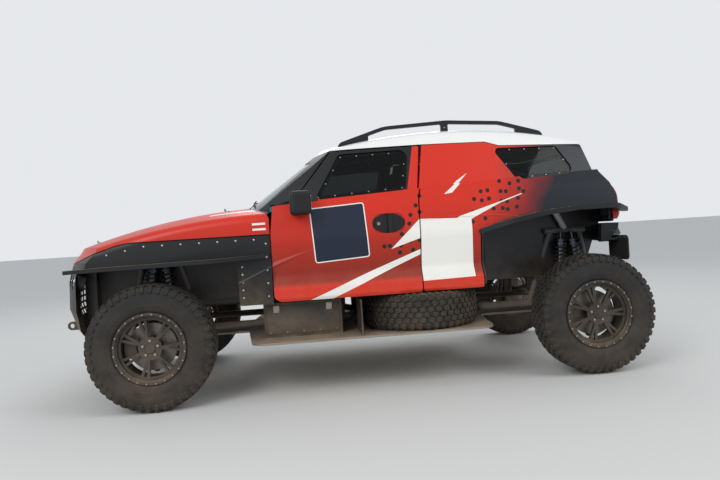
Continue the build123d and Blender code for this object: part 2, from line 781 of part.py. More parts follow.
# Steering wheel: rim, three spokes, hub and column, tilted to the driver
STEER_CENTRE = at(1110, -370, 1085)
STEER_TILT = radians(24)
STEER_AXIS = (cos(STEER_TILT), 0, sin(STEER_TILT))
steer_plane = Plane(origin=STEER_CENTRE, x_dir=(0, 1, 0), z_dir=STEER_AXIS)
with BuildPart() as helm:
    with BuildSketch(Plane(origin=STEER_CENTRE, x_dir=STEER_AXIS, z_dir=(0, 1, 0))):
        with Locations((0, 162)):
            Circle(14)
    revolve(axis=Axis(STEER_CENTRE, STEER_AXIS))
    with BuildSketch(steer_plane.offset(-9)):
        Circle(38)
        for turn in (0, 90, 180):
            with Locations(Location((0, 0, 0), (0, 0, turn))):
                Rectangle(160, 30, align=(Align.MIN, Align.CENTER))
    extrude(amount=16)
    with BuildSketch(steer_plane):
        Circle(20)
    extrude(amount=-165)
steering_wheel = keep("steering_wheel", helm.part)

# Seats: two bucket shells with side bolsters, head wings and slots for the shoulder belts
SEAT_Y = 370
SEAT_BASE = [(1230, 720, 20), (1640, 700, 40), (1660, 790, 0), (1240, 800, 40)]
SEAT_BACK = [(1590, 700, 20), (1690, 700, 30), (1862, 1470, 30), (1790, 1490, 30), (1610, 800, 0)]
SEAT_WING = [
    (1220, 715, 20),
    (1690, 700, 30),
    (1862, 1470, 30),
    (1700, 1500, 40),
    (1690, 1330, 60),
    (1600, 1100, 100),
    (1560, 900, 60),
    (1225, 870, 40),
]
with BuildPart() as seat:
    add(side_prism(SEAT_BASE, SEAT_Y - 190, SEAT_Y + 190))
    add(side_prism(SEAT_BACK, SEAT_Y - 190, SEAT_Y + 190))
    add(side_prism(SEAT_WING, SEAT_Y - 225, SEAT_Y - 185))
    add(side_prism(SEAT_WING, SEAT_Y + 185, SEAT_Y + 225))
    with Locations(at(1450, -SEAT_Y, 682)):
        Box(360, 340, 56)
    for y in (-SEAT_Y - 75, -SEAT_Y + 75):
        with Locations(at(1780, y, 1330)):
            Box(300, 76, 28, mode=Mode.SUBTRACT)
seats = keep("seats", pair(seat.part))

# Side boxes: dark lockers under the doors, in front of the spare wheels
with BuildPart() as locker:
    with Locations(at(955, -560, (TRAY_TOP + 600) / 2)):
        Box(520, 320, 600 - TRAY_TOP)
    with Locations(at(1330, -760, (TRAY_TOP + 600) / 2)):
        Box(10, 330, 600 - TRAY_TOP)
side_boxes = keep("side_boxes", pair(locker.part))

# Mud flaps: one behind each rear wheel, on two brackets from the bumper's corner
FLAP_END = [(-962, 743, 30), (-700, 743, 30), (-700, 908, 30), (-962, 908, 30)]
FLAP_STATION = 3128
# (y, station where the bracket starts inside the bumper's wall)
FLAP_BRACKETS = [(-835, 3055), (-740, 3090)]
with BuildPart() as flap:
    add(end_prism(FLAP_END, FLAP_STATION, FLAP_STATION + 8))
    for y, start in FLAP_BRACKETS:
        with Locations(at(start, y, 885)):
            Box(FLAP_STATION + 4 - start, 24, 12, align=(Align.MIN, Align.CENTER, Align.CENTER))
    add(rear_bumper, mode=Mode.SUBTRACT)
    add(side_panels, mode=Mode.SUBTRACT)
mud_flaps = keep("mud_flaps", pair(flap.part))


# (radius, distance from the middle plane, corner radius) of the tyre's section, from bead to bead
TYRE_SECTION = [
    (205, -98, 0),
    (224, -98, 0),
    (300, -TYRE_WIDTH / 2, 0),
    (366, -TYRE_WIDTH / 2 + 3, 0),
    (TYRE_RADIUS, -TYRE_WIDTH / 2 + 22, 0),
    (TYRE_RADIUS, TYRE_WIDTH / 2 - 22, 0),
    (366, TYRE_WIDTH / 2 - 3, 0),
    (300, TYRE_WIDTH / 2, 0),
    (224, 98, 0),
    (205, 98, 0),
]
LUGS, LUG_GAP, LUG_DEPTH, LUG_REACH = 16, 34, 18, 48


def tyre_form():
    """A tyre turned about +Z, its shoulders cut into lugs that stand half a pitch apart on the two sides."""
    with BuildPart() as ring:
        with BuildSketch(Plane.XZ):
            outline(TYRE_SECTION)
        revolve(axis=Axis.Z)
        for side, start in ((-1, 0), (1, 180 / LUGS)):
            with PolarLocations(TYRE_RADIUS - LUG_DEPTH + 20, LUGS, start):
                with Locations((0, 0, side * (TYRE_WIDTH / 2 - LUG_REACH + 30))):
                    Box(40, LUG_GAP, 60, mode=Mode.SUBTRACT)
    return ring.part


# (radius, depth, corner radius) of the barrel's wall, round its section
RIM_BARREL = [
    (RIM_RADIUS, -108, 0),
    (RIM_RADIUS, -101, 0),
    (204, -99, 0),
    (204, -72, 0),
    (190, -52, 0),
    (190, 60, 0),
    (204, 80, 0),
    (204, 99, 0),
    (RIM_RADIUS, 101, 0),
    (RIM_RADIUS, 108, 0),
    (215, 108, 0),
    (197, 94, 0),
    (196, 80, 0),
    (183, 58, 0),
    (183, -50, 0),
    (196, -74, 0),
    (197, -94, 0),
    (215, -108, 0),
]


def rim_form(disc):
    """A rim whose dished face looks down: barrel, spokes in pairs, hub, and a brake disc if asked."""
    with BuildPart() as wheel:
        with BuildSketch(Plane.XZ):
            outline(RIM_BARREL)
        revolve(axis=Axis.Z)
        with BuildSketch(Plane.XY.offset(-78)) as face:
            Circle(196)
            Circle(178, mode=Mode.SUBTRACT)
            Circle(72)
            with PolarLocations(0, 7):
                for lean in (-9, 9):
                    with Locations(Location((58, 0, 0), (0, 0, lean))):
                        Rectangle(130, 17, align=(Align.MIN, Align.CENTER))
        extrude(face.sketch, amount=24)
        with Locations((0, 0, -34)):
            Cylinder(60, 72)
        if disc:
            with Locations((0, 0, 15)):
                Cylinder(DISC_RADIUS, 26)
        Cylinder(32, 80, align=(Align.CENTER, Align.CENTER, Align.CENTER), mode=Mode.SUBTRACT)
    return wheel.part


# Wheels on the ground and the two spares lying flat, dished face down
TYRE, RIM, SPARE_RIM = tyre_form(), rim_form(True), rim_form(False)
# (name, station, side)
CORNERS = [
    ("front_left", 0, -1),
    ("front_right", 0, 1),
    ("rear_left", WHEELBASE, -1),
    ("rear_right", WHEELBASE, 1),
]
for corner, station, side in CORNERS:
    hub = Plane(origin=at(station, side * TRACK / 2, AXLE_Z), x_dir=(1, 0, 0), z_dir=(0, -side, 0))
    keep("tyre_" + corner, hub.location * TYRE)
    keep("rim_" + corner, hub.location * RIM)
SPARE_STATION, SPARE_Y = 1780, 545
spare_place = Location(at(SPARE_STATION, -SPARE_Y, TRAY_TOP + TYRE_WIDTH / 2))
spare_tyres = keep("spare_tyres", pair(spare_place * TYRE))
spare_rims = keep("spare_rims", pair(spare_place * SPARE_RIM))


SHAFT_Z = AXLE_Z + 6


def upright(station, steered):
    """The left upright of an axle: hollow block, stub, brake caliper and, if steered, its steering arm."""
    # stations and heights are measured from the axle, depths from the wheel's middle towards the car
    def slab(depth):
        return Plane(origin=at(station, -TRACK / 2 + depth, AXLE_Z), x_dir=(1, 0, 0), z_dir=(0, -1, 0))

    with BuildPart() as knuckle:
        with Locations(at(station, -KINGPIN_Y, AXLE_Z + 8)):
            Box(130, 50, 216)
        pin_foot, pin_head = (275, 523) if steered else (255, 543)
        with Locations(at(station, -KINGPIN_Y, pin_foot)):
            Cylinder(14, pin_head - pin_foot, align=(Align.CENTER, Align.CENTER, Align.MIN))
        with BuildSketch(slab(78)) as stub:
            Circle(31.9)
        extrude(stub.sketch, amount=92)
        with BuildSketch(slab(56)) as flange:
            Circle(62)
        extrude(flange.sketch, amount=26)
        with BuildSketch(slab(44)) as caliper:
            Circle(172)
            Circle(98, mode=Mode.SUBTRACT)
            with Locations((-140, 0)):
                Rectangle(120, 130, mode=Mode.INTERSECT)
        extrude(caliper.sketch, amount=64)
        with BuildSketch(slab(60)) as bracket:
            with Locations((-80, 0)):
                Rectangle(120, 60)
        extrude(bracket.sketch, amount=16)
        with BuildSketch(slab(34)) as slot:
            Circle(DISC_RADIUS + 6)
            Circle(40, mode=Mode.SUBTRACT)
        extrude(slot.sketch, amount=38, mode=Mode.SUBTRACT)
        with Locations(at(station, -KINGPIN_Y, SHAFT_Z)):
            Sphere(50, mode=Mode.SUBTRACT)
        if steered:
            with BuildSketch(PLAN.offset(AXLE_Z + 97)) as arm:
                with Locations(Location((80, -742, 0), (0, 0, 29))):
                    Rectangle(164, 30)
                with Locations((RACK_STATION, -RACK_END)):
                    Circle(20)
            extrude(arm.sketch, amount=18)
    return knuckle.part


keep("knuckle_front_left", upright(0, True))
keep("knuckle_front_right", mirror(upright(0, True), about=CAR_MIDDLE))

# Steering rack: a sliding bar with a rod end under each steering arm
with BuildPart() as rack:
    tube(at(RACK_STATION, -RACK_END, RACK_Z), at(RACK_STATION, RACK_END, RACK_Z), 12)
    with Locations(at(RACK_STATION, -RACK_END, RACK_Z), at(RACK_STATION, RACK_END, RACK_Z)):
        Cylinder(17, 22)
steering_rack = keep("steering_rack", rack.part)

# Suspension: two wishbones and a drive shaft at each wheel, with the rear uprights
with BuildPart() as links:
    for station in (0, WHEELBASE):
        for way in (-1, 1):
            tube(at(station, -KINGPIN_Y, 250), at(station + way * 180, -374, 421), 16)
            tube(at(station, -KINGPIN_Y, 548), at(station + way * 203, -400, 604), 14)
        with Locations(at(station, -KINGPIN_Y, 250), at(station, -KINGPIN_Y, 548)):
            Sphere(24)
        tube(at(station, -152, 530), at(station, -KINGPIN_Y, SHAFT_Z), 19)
        with Locations(at(station, -KINGPIN_Y, SHAFT_Z), at(station, -190, 522)):
            Sphere(34)
    add(upright(WHEELBASE, False))
    clear_of_frame()
suspension_arms = keep("suspension_arms", pair(links.part))

# Dampers: two upright coil-over units at each wheel, between the upper wishbone's legs
# (start and end as shares of the unit's length, radius)
DAMPER_STEPS = [(0, 1, 14), (0.1, 0.3, 22), (0.3, 0.9, 31)]
with BuildPart() as legs:
    for station in (0, WHEELBASE):
        for way in (-1, 1):
            foot = Vector(*at(station + way * 99, -560, 356))
            head = Vector(*at(station + way * 40, -512, 950))
            run = head - foot
            for low, high, radius in DAMPER_STEPS:
                tube(tuple(foot + run * low), tuple(foot + run * high), radius)
    clear_of_frame()
    add(suspension_arms, mode=Mode.SUBTRACT)
dampers = keep("dampers", pair(legs.part))
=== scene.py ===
from math import cos, hypot, pi, radians, sin

import bmesh
import bpy
from mathutils import Matrix, Vector
from mathutils.bvhtree import BVHTree


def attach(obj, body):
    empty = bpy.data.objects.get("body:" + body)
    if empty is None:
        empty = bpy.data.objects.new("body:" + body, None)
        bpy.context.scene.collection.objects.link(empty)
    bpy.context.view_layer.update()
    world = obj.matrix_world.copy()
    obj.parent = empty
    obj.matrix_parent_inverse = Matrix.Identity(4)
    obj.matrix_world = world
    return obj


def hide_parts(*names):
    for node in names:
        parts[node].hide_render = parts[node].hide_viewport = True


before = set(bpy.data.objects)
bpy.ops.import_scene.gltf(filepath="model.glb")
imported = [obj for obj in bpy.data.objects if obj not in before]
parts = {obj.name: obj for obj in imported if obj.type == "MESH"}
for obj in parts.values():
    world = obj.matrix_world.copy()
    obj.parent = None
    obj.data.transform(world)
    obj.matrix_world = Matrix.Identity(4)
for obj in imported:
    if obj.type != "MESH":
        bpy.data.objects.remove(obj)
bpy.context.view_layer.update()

scene = bpy.context.scene

# The camera stands five metres off the car's left side, a little ahead of its middle.
# It looks slightly down and is held 3.6 degrees off level, with a moderately wide lens.
YAW, DIP, ROLL = radians(5.7), radians(0.6), radians(3.6)
CAMERA_PLACE = (-0.361, -5.017, 1.03)
rightwards = Vector((cos(YAW), -sin(YAW), 0))
ahead = Vector((sin(YAW) * cos(DIP), cos(YAW) * cos(DIP), -sin(DIP)))
upwards = rightwards.cross(ahead)
held_right = rightwards * cos(ROLL) - upwards * sin(ROLL)
held_up = rightwards * sin(ROLL) + upwards * cos(ROLL)


def put(name, data):
    """Adds an object to the scene."""
    made = bpy.data.objects.new(name, data)
    scene.collection.objects.link(made)
    return made


camera = put("camera", bpy.data.cameras.new("camera"))
camera.data.lens = 32
camera.data.sensor_width = 36
camera.data.clip_end = 500
held = Matrix((held_right, held_up, -ahead)).transposed()
camera.matrix_world = Matrix.Translation(CAMERA_PLACE) @ held.to_4x4()
scene.camera = camera
scene.view_settings.view_transform = "Standard"


# The floor is a pale matt sheet that keeps the car's shadow, under an even pale sky.
# Two wide soft lamps stand on the camera's side, and a third one lights the far side.
def linear(code):
    """An sRGB hex colour as the linear values that a socket takes."""
    shades = [int(code[i:i + 2], 16) / 255 for i in (1, 3, 5)]
    return tuple(c / 12.92 if c <= 0.04045 else ((c + 0.055) / 1.055) ** 2.4 for c in shades) + (1,)


def feed(tree, node, inputs):
    """Gives a node's sockets numbers, or links them to a socket or to another node's first output."""
    for socket, value in dict(inputs).items():
        if isinstance(value, bpy.types.Node):
            value = value.outputs[0]
        if isinstance(value, bpy.types.NodeSocket):
            tree.links.new(value, node.inputs[socket])
        else:
            node.inputs[socket].default_value = value


def add(tree, kind, inputs=(), **settings):
    """Adds one node, sets its properties and feeds its sockets."""
    made = tree.nodes.new("ShaderNode" + kind)
    for name, value in settings.items():
        setattr(made, name, value)
    feed(tree, made, inputs)
    return made


def calc(tree, operation, *values):
    """Adds one sum, comparison or other operation on numbers."""
    return add(tree, "Math", enumerate(values), operation=operation)


def new_material(name, fixed=()):
    """A material, its tree, its shader with what is the same all over, and the object's coordinates."""
    material = bpy.data.materials.new(name)
    material.use_nodes = True
    tree = material.node_tree
    tree.nodes.clear()
    shader = add(tree, "BsdfPrincipled", fixed)
    add(tree, "OutputMaterial", {"Surface": shader})
    return material, tree, shader, add(tree, "TexCoord").outputs["Object"]


def shaped(name, bm, material):
    """Turns a bmesh into an object of one material."""
    mesh = bpy.data.meshes.new(name)
    bm.to_mesh(mesh)
    bm.free()
    mesh.materials.append(material)
    return put(name, mesh)


FLOOR_HALF = 120
bm = bmesh.new()
bmesh.ops.create_grid(bm, x_segments=1, y_segments=1, size=FLOOR_HALF)
matt_sheet = new_material("floor_matt_sheet", {"Base Color": linear("#D9D8D4"), "Roughness": 0.9})[0]
floor = shaped("floor", bm, matt_sheet)

world = bpy.data.worlds.new("sky")
scene.world = world
world.use_nodes = True
tree = world.node_tree
tree.nodes.clear()
path = add(tree, "LightPath").outputs
seen = calc(tree, "MAXIMUM", path["Is Camera Ray"], path["Is Glossy Ray"])
seen = calc(tree, "MAXIMUM", seen, path["Is Transmission Ray"])
lit = add(tree, "Background", {"Color": linear("#E8EEF6"), "Strength": 0.72})
shown = add(tree, "Background", {"Color": linear("#E6E8EC"), "Strength": 1})
sky = add(tree, "MixShader", {0: seen, 1: lit, 2: shown})
add(tree, "OutputWorld", {"Surface": sky})

LAMP_TARGET = Vector((0, 0, 0.8))
# place, size in metres, power in watts
LAMPS = (
    ((-4.5, -6.5, 5), 4.5, 270),
    ((5.5, -4.5, 4.5), 4, 120),
    ((0.5, 6.5, 5.5), 5, 130),
)
for number, (place, size, power) in enumerate(LAMPS):
    lamp = put("lamp_%d" % number, bpy.data.lights.new("lamp_%d" % number, "AREA"))
    lamp.data.shape = "DISK"
    lamp.data.size = size
    lamp.data.energy = power
    lamp.location = place
    lamp.rotation_euler = (LAMP_TARGET - Vector(place)).to_track_quat("-Z", "Y").to_euler()


# Lower frame: seamless steel tubes, bent and welded, then powder-coated in a grey that dust has dulled.
# Two long rails carry cross tubes, posts and the four trestles that hold the dampers' heads.
DUST = "#B59A78"


def ranged(tree, value, low, high, first, last):
    """Maps the span that a value runs over onto another span, and holds it inside."""
    return add(tree, "MapRange", enumerate((value, low, high, first, last)))


def blended(tree, share, under, over):
    """A share of one colour laid over another."""
    return add(tree, "Mix", {0: share, 6: under, 7: over}, data_type="RGBA").outputs[2]


def dusted(tree, shader, coords, colour, gloss, thick, low, high, settled=0.45, dust=DUST):
    """Lays dust on a finish: thickest low down and on faces that look up, in patches of about 100 mm."""
    place = add(tree, "SeparateXYZ", {0: coords})
    clouds = add(tree, "TexNoise", {"Vector": coords, "Scale": 9, "Detail": 7, "Roughness": 0.62})
    fine = add(tree, "TexNoise", {"Vector": coords, "Scale": 240, "Detail": 3})
    height = ranged(tree, place.outputs["Z"], low, high, 1, 0)
    facing = add(tree, "NewGeometry")
    tilt = add(tree, "SeparateXYZ", {0: facing.outputs["Normal"]})
    lying = ranged(tree, tilt.outputs["Z"], 0.3, 1, 0, settled)
    amount = calc(tree, "ADD", height, lying)
    amount = calc(tree, "MULTIPLY", amount, clouds)
    amount = calc(tree, "MULTIPLY", amount, fine)
    amount = ranged(tree, amount, 0.08, 0.5, 0, thick)
    mixed = blended(tree, amount, colour, linear(dust))
    rough = ranged(tree, amount, 0, 0.6, gloss, 0.85)
    feed(tree, shader, {"Base Color": mixed, "Roughness": rough})


GRAIN = ("TexNoise", {"Scale": 240, "Detail": 3})


def emboss(tree, shader, height, strength, distance, **settings):
    """Gives a shader a relief that stands a distance high."""
    bump = add(tree, "Bump", {"Height": height, "Strength": strength, "Distance": distance}, **settings)
    feed(tree, shader, {"Normal": bump})


def surface(name, colours, dust=None, pattern=None, relief=None, fixed=(), **settings):
    """A material of one colour, or of two that a pattern mixes, with the pattern's relief and with dust on it.

    The dust is given as the finish's gloss, its thickness and the heights between which it thins out."""
    material, tree, shader, coords = new_material(name, fixed)
    colour, *second = (linear(code) for code in colours.split())
    if pattern:
        pattern = add(tree, pattern[0], {"Vector": coords, **pattern[1]}, **settings)
    if second:
        colour = blended(tree, pattern, colour, second[0])
    if relief:
        emboss(tree, shader, pattern, *relief)
    if dust:
        dusted(tree, shader, coords, colour, *dust)
    else:
        feed(tree, shader, {"Base Color": colour})
    return material


def dress(material, *names):
    """Gives CAD nodes their finish."""
    for name in names:
        for slot in parts[name].material_slots:
            slot.material = material


COATED = (0.15, 0.0008)
tube_coat = surface("grey_powder_coat_on_steel", "#5B5D5F", (0.5, 0.8, 0.3, 1.2), GRAIN, COATED)
dress(tube_coat, "long_rails", "cross_tubes", "damper_towers")

# Skid tray: a 14 mm rolled aluminium sheet under the whole floor, scraped along the car and sanded dull.
# Countersunk screws hold it to the rails in two rows, and to the side boxes in two more.
dull_alloy, tree, shader, coords = new_material("sand_dulled_aluminium", {"Metallic": 0.85})
along = add(tree, "Mapping", {"Vector": coords, "Scale": (6, 260, 260)})
scrapes = add(tree, "TexNoise", {"Vector": along, "Scale": 1, "Detail": 5})
worn = ranged(tree, scrapes, 0.35, 0.7, 0, 1)
tones = blended(tree, worn, linear("#7D7B78"), linear("#A9A7A2"))
dusted(tree, shader, coords, tones, 0.42, 0.95, 0.3, 0.9)
emboss(tree, shader, scrapes, 0.2, 0.0006)
dress(dull_alloy, "underbody_tray")


def aimed(start, way):
    """The placing that turns the Z axis along a way and moves the origin to a start."""
    return Matrix.Translation(start) @ Vector(way).to_track_quat("Z", "Y").to_matrix().to_4x4()


def rod(bm, start, end, radius, tip=None, sides=16):
    """A round bar, or a cone where the tip has a radius of its own."""
    start, end = Vector(start), Vector(end)
    bmesh.ops.create_cone(bm, cap_ends=True, segments=sides, radius1=radius,
                          radius2=radius if tip is None else tip, depth=(end - start).length,
                          matrix=aimed((start + end) / 2, end - start))


def new_piece(name, bm, material, body="chassis", smooth=radians(35)):
    """Turns a bmesh into a piece that rides on a body, and shades it smooth up to an angle."""
    bmesh.ops.recalc_face_normals(bm, faces=bm.faces)
    piece = shaped(name, bm, material)
    piece.data.shade_smooth()
    piece.data.set_sharp_from_angle(angle=smooth)
    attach(piece, body)
    return piece


bolt_steel = surface("zinc_plated_steel", "#9C9A94", (0.32, 0.6, 0.3, 1), fixed={"Metallic": 1})
RAIL_Y, BOX_Y, HEAD_LOW, HEAD_HIGH = 0.31, 0.86, 0.3555, 0.3585
bm = bmesh.new()
for step in range(20):
    x = -0.86 + step * 0.13
    for y in (-BOX_Y, -RAIL_Y, RAIL_Y, BOX_Y):
        if abs(y) == RAIL_Y or -0.55 < x < 0.8:
            rod(bm, (x, y, HEAD_LOW), (x, y, HEAD_HIGH), 0.009, sides=12)
new_piece("tray_screws", bm, bolt_steel)


# Cabin tub, inner arches and side boxes: sandwich panels of woven carbon in black resin, bonded to the tubes.
# The weave shows as 4 mm twill, drawn 8 mm coarse so that it reads at this distance.
def woven(name, dark, light, gloss, thick, low, high, settled, strength, fixed=()):
    """Woven carbon under resin that is scuffed and dusty."""
    material, tree, shader, coords = new_material(name, fixed)
    weave = add(tree, "TexChecker",
                {"Vector": coords, "Color1": linear(dark), "Color2": linear(light), "Scale": 125})
    dusted(tree, shader, coords, weave, gloss, thick, low, high, settled)
    scuffs = add(tree, "TexNoise", {"Vector": coords, "Scale": 60, "Detail": 6})
    emboss(tree, shader, scuffs, strength, 0.002)
    return material


black_composite = woven("black_satin_composite", "#131517", "#1B1D20", 0.36, 0.5, 0.3, 1.15, 0.45, 0.1)
dress(black_composite, "cabin_tub", "inner_arches", "side_boxes")

# Engine block and differential cases: sand-cast aluminium with the sand's grain left on it.
# They are plain masses at their real places, bolted to the frame.
cast_alloy = surface("sand_cast_aluminium", "#6F6F70", (0.55, 0.6, 0.3, 1.1),
                     ("TexNoise", {"Scale": 500, "Detail": 2}), (0.3, 0.001), {"Metallic": 0.7})
dress(cast_alloy, "engine_block")

# Radiator: a brazed aluminium core, its fins 3 mm apart drawn as fine ridges.
# It hangs upright behind the grille between two cast end tanks.
fins = surface("brazed_aluminium_fins", "#1E1F20 #7B7A76", (0.5, 0.6, 0.3, 1.1),
               ("TexWave", {"Scale": 52}), (0.6, 0.002), {"Metallic": 0.6}, bands_direction="Y")
dress(fins, "radiator")


def linked(verts, kind="link_edges"):
    """The edges or faces that some vertices belong to."""
    return list({item for vert in verts for item in getattr(vert, kind)})


def leaning(degrees):
    """The turn about the Y axis that leans a shape over."""
    return Matrix.Rotation(radians(degrees), 3, "Y")


def block(bm, centre, size, edge=0.002, lean=0):
    """A block with its edges eased, leaned over about its own middle and put in place."""
    cube = bmesh.ops.create_cube(bm, size=1)["verts"]
    bmesh.ops.scale(bm, vec=size, verts=cube)
    eased = bmesh.ops.bevel(bm, geom=linked(cube), affect="EDGES", offset=edge, segments=2, profile=0.5,
                            material=-1)
    if lean:
        bmesh.ops.rotate(bm, matrix=leaning(lean), verts=eased["verts"])
    bmesh.ops.translate(bm, vec=centre, verts=eased["verts"])


bm = bmesh.new()
for side in (-1, 1):
    block(bm, (-1.79, side * 0.4, 0.74), (0.085, 0.055, 0.4), edge=0.012)
new_piece("radiator_tanks", bm, cast_alloy)

# Suspension: wishbones and uprights made from steel tube and plate, painted black.
# Each damper carries a coil spring of 11 mm wire and stands between the lower wishbone and its trestle.
link_paint = surface("black_painted_steel", "#2A2B2D", (0.42, 0.8, 0.15, 1.1))
dress(link_paint, "suspension_arms", "knuckle_front_left", "knuckle_front_right")
damper_body = surface("hard_anodised_aluminium", "#4A4D52", (0.3, 0.5, 0.2, 1.1), fixed={"Metallic": 1})
dress(damper_body, "dampers")
spring_steel = surface("powder_coated_spring_steel", "#2C2D30", (0.35, 0.6, 0.2, 1.1))


def coil(bm, foot, head, radius, wire, turns, steps=20):
    """A coil spring between two points of a damper's axis, its wire's ends closed."""
    run = Vector(head) - Vector(foot)
    place = Matrix.Translation((radius, 0, 0)) @ Matrix.Rotation(pi / 2, 4, "X")
    old = set(bm.verts)
    ring = bmesh.ops.create_circle(bm, segments=8, radius=wire, matrix=place)["verts"]
    bmesh.ops.spin(bm, geom=ring + linked(ring), axis=(0, 0, 1),
                   dvec=(0, 0, run.length / (turns * steps)), angle=2 * pi * turns, steps=turns * steps)
    new = [vert for vert in bm.verts if vert not in old]
    bmesh.ops.holes_fill(bm, edges=[edge for edge in linked(new) if edge.is_boundary], sides=8)
    bmesh.ops.transform(bm, matrix=aimed(foot, run), verts=new)


AXLES = (-1.3, 1.6)
SPRING_RADIUS, SPRING_WIRE, SPRING_TURNS = 0.041, 0.0055, 8
# share of the damper's length, half height
COLLARS = ((0.46, 0.007), (0.85, 0.008), (0.89, 0.006))
bm, collars = bmesh.new(), bmesh.new()
for axle in AXLES:
    for side in (-1, 1):
        for way in (-1, 1):
            foot = Vector((axle + way * 0.099, side * 0.56, 0.356))
            head = Vector((axle + way * 0.04, side * 0.512, 0.95))
            run = head - foot
            coil(bm, foot + run * 0.47, foot + run * 0.84, SPRING_RADIUS, SPRING_WIRE, SPRING_TURNS)
            for share, half in COLLARS:
                middle = foot + run * share
                step = run.normalized() * half
                rod(collars, middle - step, middle + step, 0.048, sides=24)
new_piece("damper_springs", bm, spring_steel)
new_piece("damper_collars", collars, damper_body)

# Bellows and flaps: moulded black rubber. A bellows at each end of a drive shaft keeps grit off its joint.
# The flaps hang behind the wheels, bolted under the sills.
boot_rubber = surface("moulded_black_rubber", "#1A1A1A", (0.7, 0.7, 0.1, 1.1))
dress(boot_rubber, "mud_flaps")


def turned(bm, profile, start, way, steps=24):
    """A shape turned about an axis, its profile given as (distance along the axis, radius)."""
    old = set(bm.verts)
    line = [bm.verts.new((radius, 0, far)) for far, radius in profile]
    edges = [bm.edges.new(pair) for pair in zip(line, line[1:])]
    bmesh.ops.spin(bm, geom=line + edges, axis=(0, 0, 1), angle=2 * pi, steps=steps, use_merge=True)
    bmesh.ops.remove_doubles(bm, verts=[vert for vert in bm.verts if vert not in old], dist=1e-6)
    bmesh.ops.transform(bm, matrix=aimed(start, way), verts=[vert for vert in bm.verts if vert not in old])


BELLOWS = ((0, 0.02), (0.004, 0.034), (0.014, 0.04), (0.024, 0.033), (0.032, 0.039), (0.041, 0.031),
           (0.048, 0.036), (0.056, 0.028), (0.062, 0.032), (0.07, 0.024), (0.08, 0.0225), (0.084, 0.0195))
bm = bmesh.new()
for axle in AXLES:
    for side in (-1, 1):
        outer = Vector((axle, side * 0.79, 0.405))
        inner = Vector((axle, side * 0.19, 0.522))
        way = (inner - outer).normalized()
        turned(bm, BELLOWS, outer + way * 0.052, way)
        turned(bm, BELLOWS, inner - way * 0.036, -way)
new_piece("shaft_boots", bm, boot_rubber)
dress(bolt_steel, "steering_rack")

# Wheels: cast alloy rims painted dark grey, sand-blasted by use, with a bolted clamp ring round the outer bead.
# Five nuts hold each rim; an iron disc turns with it inside the barrel.
rim_paint = surface("dark_painted_cast_alloy", "#26282B", (0.4, 0.45, 0.1, 1.15), fixed={"Metallic": 0.4})
dress(rim_paint, "rim_front_left", "rim_front_right", "rim_rear_left", "rim_rear_right", "spare_rims")
disc_iron = surface("turned_cast_iron", "#4A4644 #8A8682", (0.35, 0.4, 0.1, 1.1),
                    ("TexNoise", {"Scale": 90, "Detail": 3}), fixed={"Metallic": 1})
CLAMP_RING = ((0, 0.2045), (0, 0.2235), (0.004, 0.225), (0.01, 0.2235), (0.013, 0.22), (0.013, 0.2075),
              (0.01, 0.2045), (0, 0.2045))
HUB_CAP = ((0, 0.032), (0.012, 0.032), (0.016, 0.029), (0.017, 0))
DISC = ((-0.0015, 0.07), (-0.0015, 0.1495), (-0.0005, 0.1505), (0.0265, 0.1505), (0.0275, 0.1495),
        (0.0275, 0.07), (-0.0015, 0.07))
# how many, angle of the first, circle's radius, foot and head from the wheel's middle, radii of foot and head
WHEEL_BOLTS = ((24, pi / 24, 0.2145, 0.11, 0.118, 0.0055, 0.0055), (5, 0.3, 0.048, 0.068, 0.086, 0.01, 0.0085))
TRACK, AXLE_Z = 1.736, 0.3993
HANDS = ((-1, "left"), (1, "right"))
CORNERS = [(end + "_" + hand, axle, side) for end, axle in zip(("front", "rear"), AXLES) for side, hand in HANDS]
for corner, axle, side in CORNERS:
    out = Vector((0, side, 0))
    middle = Vector((axle, side * TRACK / 2, AXLE_Z))
    ring, bolts, disc = bmesh.new(), bmesh.new(), bmesh.new()
    turned(ring, CLAMP_RING, middle + out * 0.1, out, steps=72)
    turned(ring, HUB_CAP, middle + out * 0.07, out, steps=32)
    for number, first, circle, foot, head, radius, tip in WHEEL_BOLTS:
        for count in range(number):
            turn = 2 * pi * count / number + first
            spot = middle + Vector((cos(turn), 0, sin(turn))) * circle
            rod(bolts, spot + out * foot, spot + out * head, radius, tip=tip, sides=6)
    turned(disc, DISC, middle - out * 0.028, out, steps=64)
    new_piece("clamp_ring_" + corner, ring, rim_paint, "wheel_" + corner)
    new_piece("wheel_bolts_" + corner, bolts, bolt_steel, "wheel_" + corner)
    new_piece("brake_disc_" + corner, disc, disc_iron, "wheel_" + corner)

# Tyres: all-terrain pattern, moulded with staggered tread blocks 13 mm high and lugs down the shoulder.
# Carbon-black rubber, matt, grey-brown where dust stays in the grooves and on the sidewall.
TREAD_DEPTH, PITCHES, BLOCK_SLANT, BLOCK_EASE = 0.013, 46, 12, 0.0022
# radius and distance from the middle plane, from one bead round to the crown
CARCASS = ((0.205, 0.097), (0.224, 0.097), (0.232, 0.107), (0.246, 0.1135), (0.262, 0.1165), (0.27, 0.1195),
           (0.276, 0.1185), (0.3, 0.1195), (0.33, 0.1192), (0.336, 0.1175), (0.352, 0.1165), (0.366, 0.113),
           (0.378, 0.104), (0.3845, 0.09), (0.3858, 0.05), (0.386, 0))
# across, length round the tyre, width across, offset in pitches, tilt at the shoulder, radius of its middle;
# the other half of the tyre has the same blocks half a pitch on
BLOCKS = (
    (0.017, 0.036, 0.03, 0, 0, 0.3915),
    (0.053, 0.034, 0.032, 0.5, 3, 0.3908),
    (0.088, 0.033, 0.03, 0.05, 14, 0.3868),
    (0.11, 0.024, 0.04, 0.05, 68, 0.366),
)


